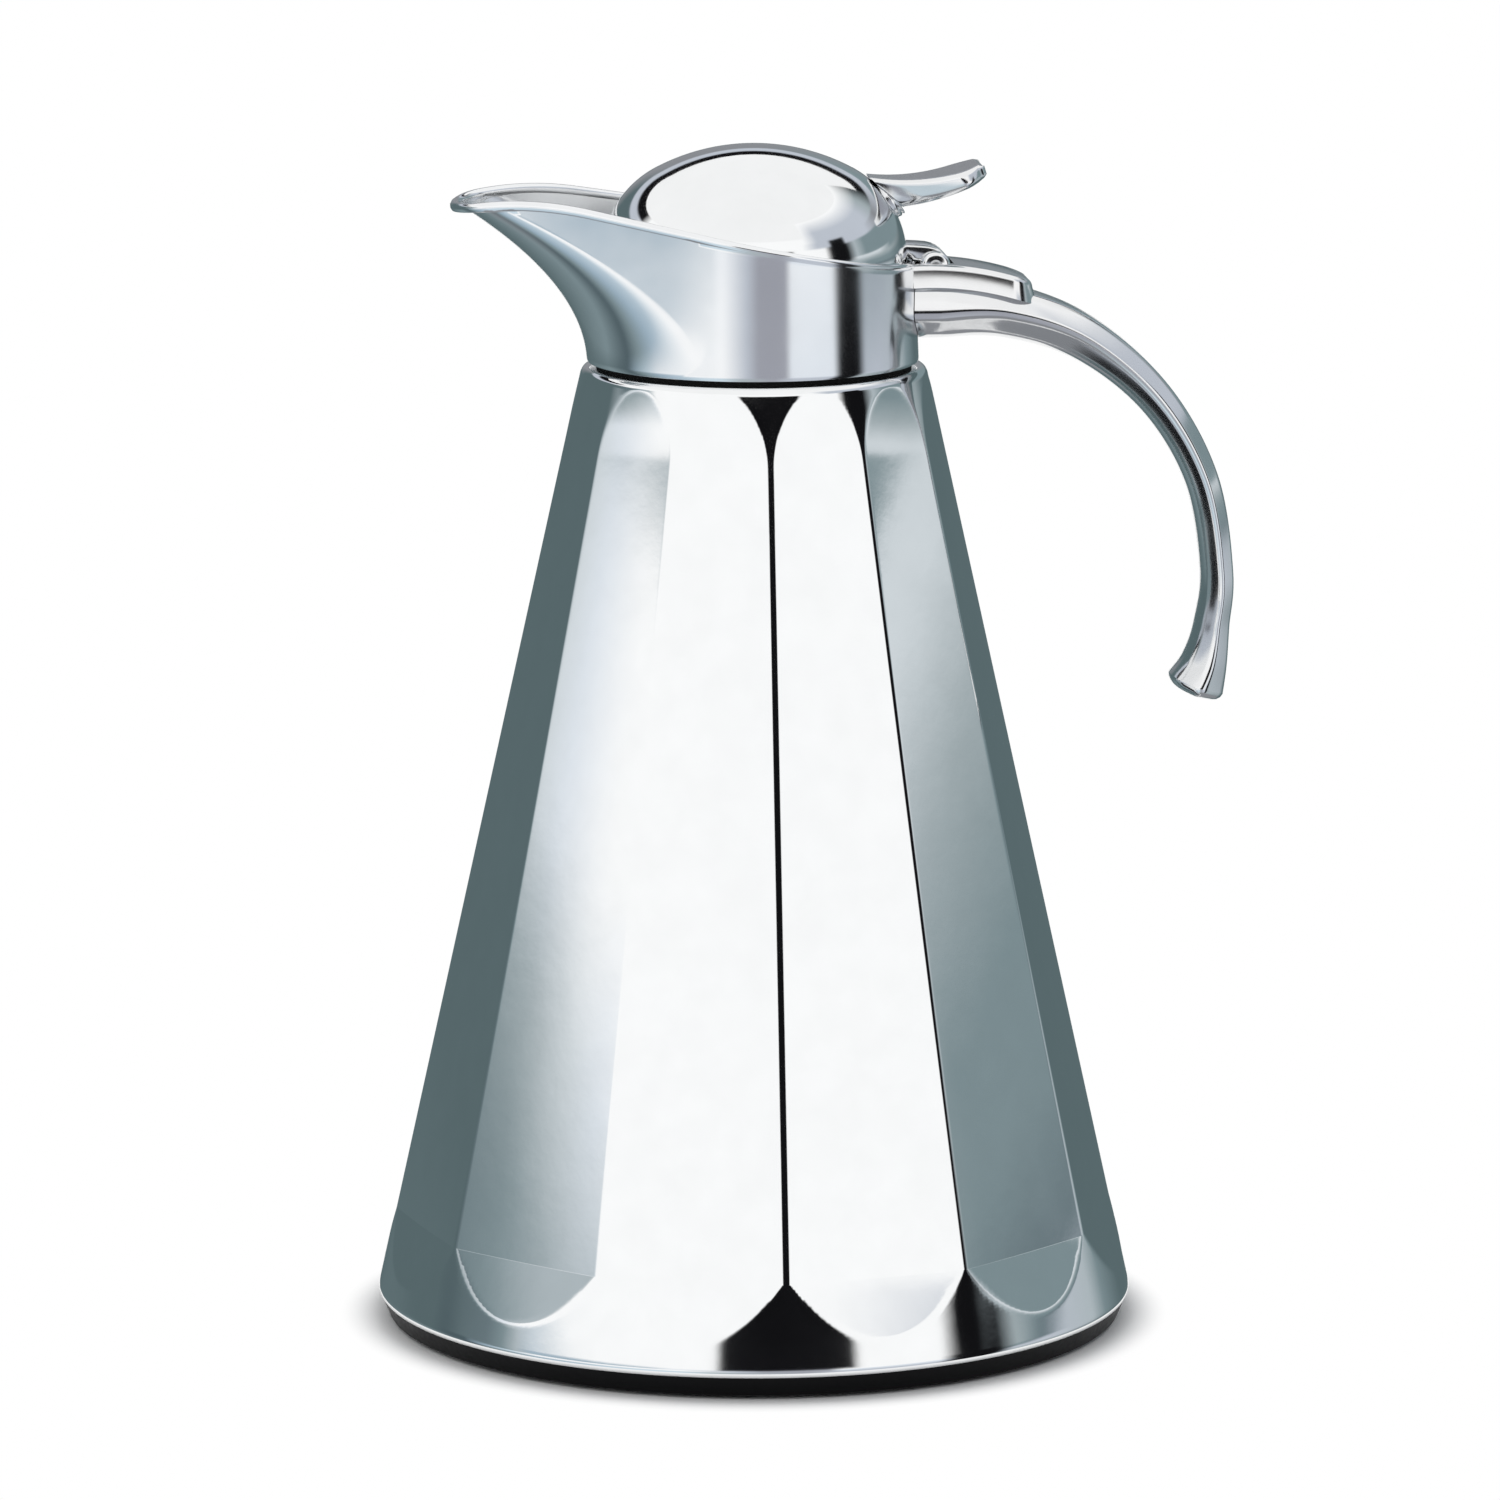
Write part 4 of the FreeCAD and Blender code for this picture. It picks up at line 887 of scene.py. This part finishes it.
# Hinge leaf: a short arm brazed to the dome, ending in the middle knuckle.
# Polished like the handle.
LEAF_FRONT = 29.2
LEAF_LOW = 214.5
LEAF_HIGH = 217.1
LEAF_HALF = 4.2
LEAF_EASE = 0.45
LEAF_STEPS = 40
leaf_line = [(LEAF_FRONT, LEAF_LOW)]
leaf_line += arc(HINGE_X, HINGE_Z, KNUCKLE_R, 165, 410, LEAF_STEPS)
leaf_line += [(36.6, 216.05), (35.6, 216.5), (34.4, 216.8), (32.8, 216.95), (31.0, 217.05)]
leaf_line += [(LEAF_FRONT, LEAF_HIGH)]
leaf = slab("hinge_leaf", [Vector(p) for p in leaf_line], -LEAF_HALF, LEAF_HALF, LEAF_EASE)
finish_piece(leaf, handle_polish, "lid", "polished_casting", "hinge_leaf", sharp=50)


# Thumb lever: a polished casting that spreads from a narrow root to a broad thumb rest.
# Its sections stand between two shallow arcs, and it is screwed on through the ferrule.
LEVER_LOW = (Vector((29.26, 0, 224.33)), Vector((44.9, 0, 229.9)), 0.8)
LEVER_HIGH = (Vector((22.2, 0, 230.6)), Vector((44.0, 0, 233.0)), 1.4)
ROOT_HALF = 4.4
TIP_HALF = 9.0
TIP_START = 0.8
TIP_CURVE = 0.5
LEVER_BELLY = 0.26
LEVER_BROW = 0.86
LEVER_WIDTHS = (0.82, 1.0, 0.96, 0.8)
LEVER_EASE = 0.3
LEVER_EASE_STEPS = 5
LEVER_ROWS = 60
ROOT_ROUND = ((1.6, -0.05), (0.5, 0.0))
TIP_ROUND = ((0.2, 0.5), (0.6, 0.95), (1.2, 1.2))


def bowed(line, share):
    """A point along a shallow arc that sags below its chord."""
    start, end, sag = line
    along = (end - start).normalized()
    down = Vector((along.z, 0, -along.x))
    return start + (end - start) * share + down * sag * 4 * share * (1 - share)


def lever_ring(share, shrink=0.0, forward=0.0):
    """One rounded section of the lever, from its root to its tip."""
    low = bowed(LEVER_LOW, share)
    high = bowed(LEVER_HIGH, share)
    rise = (high - low).normalized()
    along = Vector((rise.z, 0, -rise.x))
    half = ROOT_HALF + (TIP_HALF - ROOT_HALF) * min(share / TIP_START, 1.0)
    past = max(share - TIP_START, 0.0) / (1 - TIP_START)
    half = half * math.sqrt(1 - TIP_CURVE * past ** 2) - shrink
    tall = (high - low).length
    heights = (shrink, LEVER_BELLY * tall, LEVER_BROW * tall, tall - shrink)
    widths = [part * half for part in LEVER_WIDTHS]
    corners = [(u, y) for u, y in zip(heights, widths)]
    corners += [(u, -y) for u, y in corners[::-1]]
    corners = corners[-1:] + corners[:-1]
    rounding = [LEVER_EASE] * len(corners)
    outline = soft_outline([(u, y, 0) for u, y in corners], rounding, LEVER_EASE_STEPS)
    return [low + rise * p.x + Vector((0, p.y, 0)) + along * forward for p in outline]


lever_rings = [lever_ring(0.0, shrink, forward) for shrink, forward in ROOT_ROUND]
for row in range(1, LEVER_ROWS + 1):
    lever_rings.append(lever_ring(row / LEVER_ROWS))
for shrink, forward in TIP_ROUND:
    lever_rings.append(lever_ring(1.0, shrink, forward))
lever = cap_ends(skin("thumb_lever", lever_rings), len(lever_rings[0]))
finish_piece(lever, handle_polish, "lid", "polished_casting", "thumb_lever", sharp=50)


# Lever ferrule: a turned ring with two beads that stands between the lever's root and the dome.
# Polished like the lever. Its line gives the distance from the seat and the radius there.
LEVER_ANGLE = math.radians(35)
LEVER_OUT = Vector((math.cos(LEVER_ANGLE), 0, math.sin(LEVER_ANGLE)))
SEAT = Vector((26.78, 0, 225.77))
FERRULE_STEPS = 48
ferrule_line = [(-1.5, 4.0), (0.0, 4.2), (0.3, 4.25), (0.52, 4.0)]
ferrule_line += [(0.62, 4.0), (0.8, 4.2), (1.05, 4.2), (1.2, 3.9)]
ferrule_turns = [math.tau * k / FERRULE_STEPS for k in range(FERRULE_STEPS)]
sideways = Vector((0, 1, 0))
upward = Vector((-LEVER_OUT.z, 0, LEVER_OUT.x))
ferrule_rings = [[SEAT + LEVER_OUT * ferrule_line[0][0]]]
for distance, radius in ferrule_line:
    ring = []
    for turn in ferrule_turns:
        outward = sideways * math.sin(turn) + upward * math.cos(turn)
        ring.append(SEAT + LEVER_OUT * distance + outward * radius)
    ferrule_rings.append(ring)
ferrule_rings.append([SEAT + LEVER_OUT * ferrule_line[-1][0]])
ferrule = skin("lever_ferrule", ferrule_rings[::-1])
finish_piece(ferrule, handle_polish, "lid", "polished_casting", "lever_ferrule", sharp=60)


# Studio: a small pale table in a white room, and a round wall of panels out of the picture.
# The polished steel mirrors the wall: white and grey panels, a wide dark gap in front and a
# narrower one beside it. The wall's sizes are in metres.
TENT_R = 2.3
TENT_LOW = -3.0
TENT_HIGH = 1.65
SIDE_HIGH = 2.9
SIDE_START = 36
SIDE_END = 138
OPEN_MIDDLE = 175
OPEN_HALF = 10.5
OPEN_HIGH = 0.12
WHITE = (1.07, 1.07, 1.07)
MIST = (0.82, 0.87, 0.93)
SILVER = (0.70, 0.75, 0.78)
PALE = (0.66, 0.78, 0.86)
SIDE = (0.56, 0.60, 0.67)
STEEL = (0.46, 0.52, 0.55)
BLUE = (0.36, 0.47, 0.56)
GREY = (0.38, 0.44, 0.46)
SMOKE = (0.37, 0.38, 0.43)
BACK = (0.27, 0.28, 0.30)
DIM = (0.22, 0.29, 0.31)
DUSK = (0.15, 0.20, 0.22)
FAR = (0.105, 0.15, 0.16)
DEEP = (0.08, 0.115, 0.13)
BLACK = (0.006, 0.006, 0.007)
# Degrees round the wall from the viewer's side, and the shade there
ALL_BACK = [(-180, BACK), (180, BACK)]
ALL_WHITE = [(-180, WHITE), (180, WHITE)]
UNDER = [(-170, FAR), (-125, DIM), (-100, DEEP), (-88, DIM), (-72, BLUE), (-40, PALE), (-28, PALE)]
UNDER += [(-15, STEEL), (10, SMOKE), (24, SIDE), (52, SIDE), (58, BLACK), (72, BLACK)]
UNDER += [(80, STEEL), (125, FAR)]
LOW = [(-170, FAR), (-118, FAR), (-109, DEEP), (-101, DEEP), (-92, BLUE), (-82, PALE), (-72, WHITE)]
LOW += [(-26, WHITE), (-10, SIDE), (-2, SMOKE), (17, SMOKE), (21, MIST), (52, MIST), (57, BLACK)]
LOW += [(73, BLACK), (79, SIDE), (92, SIDE), (118, STEEL), (128, DIM), (144, FAR)]
SHELF = [(-170, FAR), (-112, FAR), (-92, DUSK), (-84, DIM), (-78, STEEL), (-72, WHITE)]
SHELF += [(-26, WHITE), (-10, SIDE), (-2, SMOKE), (17, SMOKE), (21, MIST), (52, MIST), (57, BLACK)]
SHELF += [(73, BLACK), (80, DIM), (90, DUSK), (118, DUSK), (144, FAR)]
LEDGE = [(-170, FAR), (-112, FAR), (-92, DUSK), (-86, DIM), (-80, STEEL), (-74, BLUE), (-36, BLUE)]
LEDGE += [(-29, MIST), (-10, SIDE), (-2, SMOKE), (17, SMOKE), (21, WHITE), (52, WHITE), (57, BLACK)]
LEDGE += [(73, BLACK), (80, GREY), (90, DIM), (118, DIM), (144, FAR)]
MIDDLE = [(-174, BACK), (-160, FAR), (-112, FAR), (-92, DIM), (-87, GREY), (-83, SILVER), (-80, MIST)]
MIDDLE += [(-76, WHITE), (-17, WHITE), (-14, BLACK), (24, BLACK), (27, WHITE), (53, WHITE), (59, BLACK)]
MIDDLE += [(66, BLACK), (75, STEEL), (96, GREY), (118, GREY), (150, FAR), (160, FAR), (174, BACK)]
UPPER_LEFT = [(-174, BACK), (-160, FAR), (-112, FAR), (-96, STEEL), (-90, SILVER), (-87, MIST), (-82, WHITE)]
EAVES_LEFT = [(-174, BACK), (-160, FAR), (-112, FAR), (-93, DUSK), (-89, DIM), (-85, STEEL), (-80, STEEL)]
FRONT = [(-17, WHITE), (-14, BLACK), (24, BLACK), (27, WHITE), (52, WHITE), (57, BLACK), (72, BLACK)]
UPPER_RIGHT = [(80, SILVER), (105, SILVER), (122, DIM), (160, DIM), (174, BACK)]
EAVES_RIGHT = [(80, STEEL), (90, DIM), (122, DIM), (160, DIM), (174, BACK)]
UPPER = UPPER_LEFT + FRONT + UPPER_RIGHT
CORNICE = UPPER_LEFT + FRONT + EAVES_RIGHT
EAVES = EAVES_LEFT + [(-74, WHITE)] + FRONT + EAVES_RIGHT
HIGH = [(-125, SIDE), (-100, WHITE), (34, WHITE), (46, SIDE), (57, SIDE), (59, BLACK), (71, BLACK)]
HIGH += [(73, SIDE), (100, SIDE), (122, BACK), (150, SIDE)]
TOP = [(-118, BLACK), (-108, WHITE), (36, WHITE), (48, SIDE), (106, SIDE), (124, GREY), (140, BLACK)]
# Panels from the floor up, and the heights between which each takes over from the one below
LEVELS = [(ALL_BACK, 0, 0), (UNDER, -2.9, -2.0), (LOW, -0.6, -0.12), (SHELF, 0.01, 0.08)]
LEVELS += [(LEDGE, 0.08, 0.14), (MIDDLE, 0.21, 0.31), (UPPER, 0.31, 0.40)]
LEVELS += [(CORNICE, 0.44, 0.465), (EAVES, 0.55, 0.60)]
LEVELS += [(HIGH, 1.0, 1.07), (TOP, 1.28, 1.36), (ALL_WHITE, 1.9, 2.85)]


def panel_ramp(nodes, stops):
    """Colours by compass direction, in degrees from the viewer's side."""
    node = nodes.new("ShaderNodeValToRGB")
    ramp = node.color_ramp
    for element, stop in zip(ramp.elements, (stops[0], stops[-1])):
        element.color = (*stop[1], 1)
    for degrees, colour in stops:
        ramp.elements.new((degrees + 180) / 360).color = (*colour, 1)
    return node


def panel_material():
    """Glowing panels, by compass direction in each level and blended from level to level."""
    material = bpy.data.materials.new("studio_panels")
    material.use_nodes = True
    nodes = material.node_tree.nodes
    links = material.node_tree.links
    nodes.remove(nodes["Principled BSDF"])
    place = nodes.new("ShaderNodeTexCoord")
    split = nodes.new("ShaderNodeSeparateXYZ")
    links.new(place.outputs["Object"], split.inputs[0])
    towards = nodes.new("ShaderNodeMath")
    towards.operation = "MULTIPLY"
    towards.inputs[1].default_value = -1.0
    links.new(split.outputs["Y"], towards.inputs[0])
    compass = nodes.new("ShaderNodeMath")
    compass.operation = "ARCTAN2"
    links.new(split.outputs["X"], compass.inputs[0])
    links.new(towards.outputs[0], compass.inputs[1])
    turn = nodes.new("ShaderNodeMapRange")
    turn.inputs["From Min"].default_value = -math.pi
    turn.inputs["From Max"].default_value = math.pi
    links.new(compass.outputs[0], turn.inputs["Value"])
    shade = None
    for stops, start, end in LEVELS:
        ramp = panel_ramp(nodes, stops)
        links.new(turn.outputs["Result"], ramp.inputs["Fac"])
        if shade is None:
            shade = ramp.outputs["Color"]
            continue
        level = nodes.new("ShaderNodeMapRange")
        level.inputs["From Min"].default_value = start
        level.inputs["From Max"].default_value = end
        links.new(split.outputs["Z"], level.inputs["Value"])
        both = nodes.new("ShaderNodeMix")
        both.data_type = "RGBA"
        links.new(level.outputs["Result"], both.inputs["Factor"])
        links.new(shade, both.inputs["A"])
        links.new(ramp.outputs["Color"], both.inputs["B"])
        shade = both.outputs["Result"]
    glow = nodes.new("ShaderNodeEmission")
    links.new(shade, glow.inputs["Color"])
    links.new(glow.outputs["Emission"], nodes["Material Output"].inputs["Surface"])
    return material


def tent_wall():
    """The round wall, open low down behind the pot where the camera looks through."""
    angles = [math.radians(-180 + k) for k in range(360)]
    points = []
    for z in (TENT_LOW, OPEN_HIGH, TENT_HIGH, SIDE_HIGH):
        points += [(TENT_R * math.sin(a), -TENT_R * math.cos(a), z) for a in angles]
    faces = []
    for row in range(3):
        for k in range(360):
            if row == 2 and not SIDE_START < k - 180 < SIDE_END:
                continue
            beside = (k + 0.5 - OPEN_MIDDLE) % 360 - 180
            if row == 0 and abs(beside) < OPEN_HALF:
                continue
            after = (k + 1) % 360
            low = row * 360
            faces.append((low + after, low + k, low + k + 360, low + after + 360))
    faces.append(tuple(range(360)))
    mesh = bpy.data.meshes.new("tent_wall")
    mesh.from_pydata(points, [], faces)
    wall = bpy.data.objects.new("tent_wall", mesh)
    bpy.context.collection.objects.link(wall)
    mesh.materials.append(panel_material())


tent_wall()
room = bpy.data.worlds.new("white_room")
room.use_nodes = True
room.node_tree.nodes["Background"].inputs["Color"].default_value = (1, 1, 1, 1)
bpy.context.scene.world = room


TABLE_R = 86.0
TABLE_STEPS = 96
TABLE_WHITE = (0.95, 0.95, 0.95, 1)
TABLE_ROUGH = 0.6
FADE_START = 75.5 * MM
FADE_END = 84.0 * MM


def table():
    """A round pale table top that holds the shadow and fades to white away from the pot."""
    rim = revolve([(TABLE_R, 0)], TABLE_STEPS)[0]
    floor = skin("table", [rim, [Vector((0, 0, 0))]])
    material, shader, vector = new_material("pale_table")
    shader.inputs["Base Color"].default_value = TABLE_WHITE
    shader.inputs["Roughness"].default_value = TABLE_ROUGH
    nodes = material.node_tree.nodes
    links = material.node_tree.links
    reach = nodes.new("ShaderNodeVectorMath")
    reach.operation = "LENGTH"
    links.new(vector, reach.inputs[0])
    fade = nodes.new("ShaderNodeMapRange")
    fade.interpolation_type = "SMOOTHSTEP"
    fade.inputs["From Min"].default_value = FADE_START
    fade.inputs["From Max"].default_value = FADE_END
    links.new(reach.outputs["Value"], fade.inputs["Value"])
    glow = nodes.new("ShaderNodeEmission")
    mixed = nodes.new("ShaderNodeMixShader")
    links.new(fade.outputs["Result"], mixed.inputs["Fac"])
    links.new(shader.outputs["BSDF"], mixed.inputs[1])
    links.new(glow.outputs["Emission"], mixed.inputs[2])
    links.new(mixed.outputs["Shader"], nodes["Material Output"].inputs["Surface"])
    floor.data.materials.append(material)


table()


# Camera: a long lens from above the rim, nearly square to the pot's side.
# Its place and aim, in metres, put the pot where the photograph has it.
CAMERA_TURN = math.radians(-5)
CAMERA_OUT = 1.75298
CAMERA_HEIGHT = 0.43987
AIM_HEIGHT = 0.11498
CAMERA_SLIDE = -0.00078
LENS = 213.52
SENSOR = 36.0
VIEW_END = 20.0
slide = Vector((math.cos(CAMERA_TURN), math.sin(CAMERA_TURN), 0)) * CAMERA_SLIDE
lens = bpy.data.cameras.new("camera")
lens.lens = LENS
lens.sensor_width = SENSOR
lens.clip_end = VIEW_END
camera = bpy.data.objects.new("camera", lens)
camera.location = Vector((math.sin(CAMERA_TURN), -math.cos(CAMERA_TURN), 0)) * CAMERA_OUT
camera.location += Vector((0, 0, CAMERA_HEIGHT)) + slide
aim = Vector((0, 0, AIM_HEIGHT)) + slide
camera.rotation_euler = (aim - camera.location).to_track_quat("-Z", "Y").to_euler()
bpy.context.collection.objects.link(camera)
bpy.context.scene.camera = camera
bpy.context.scene.view_settings.view_transform = "Standard"
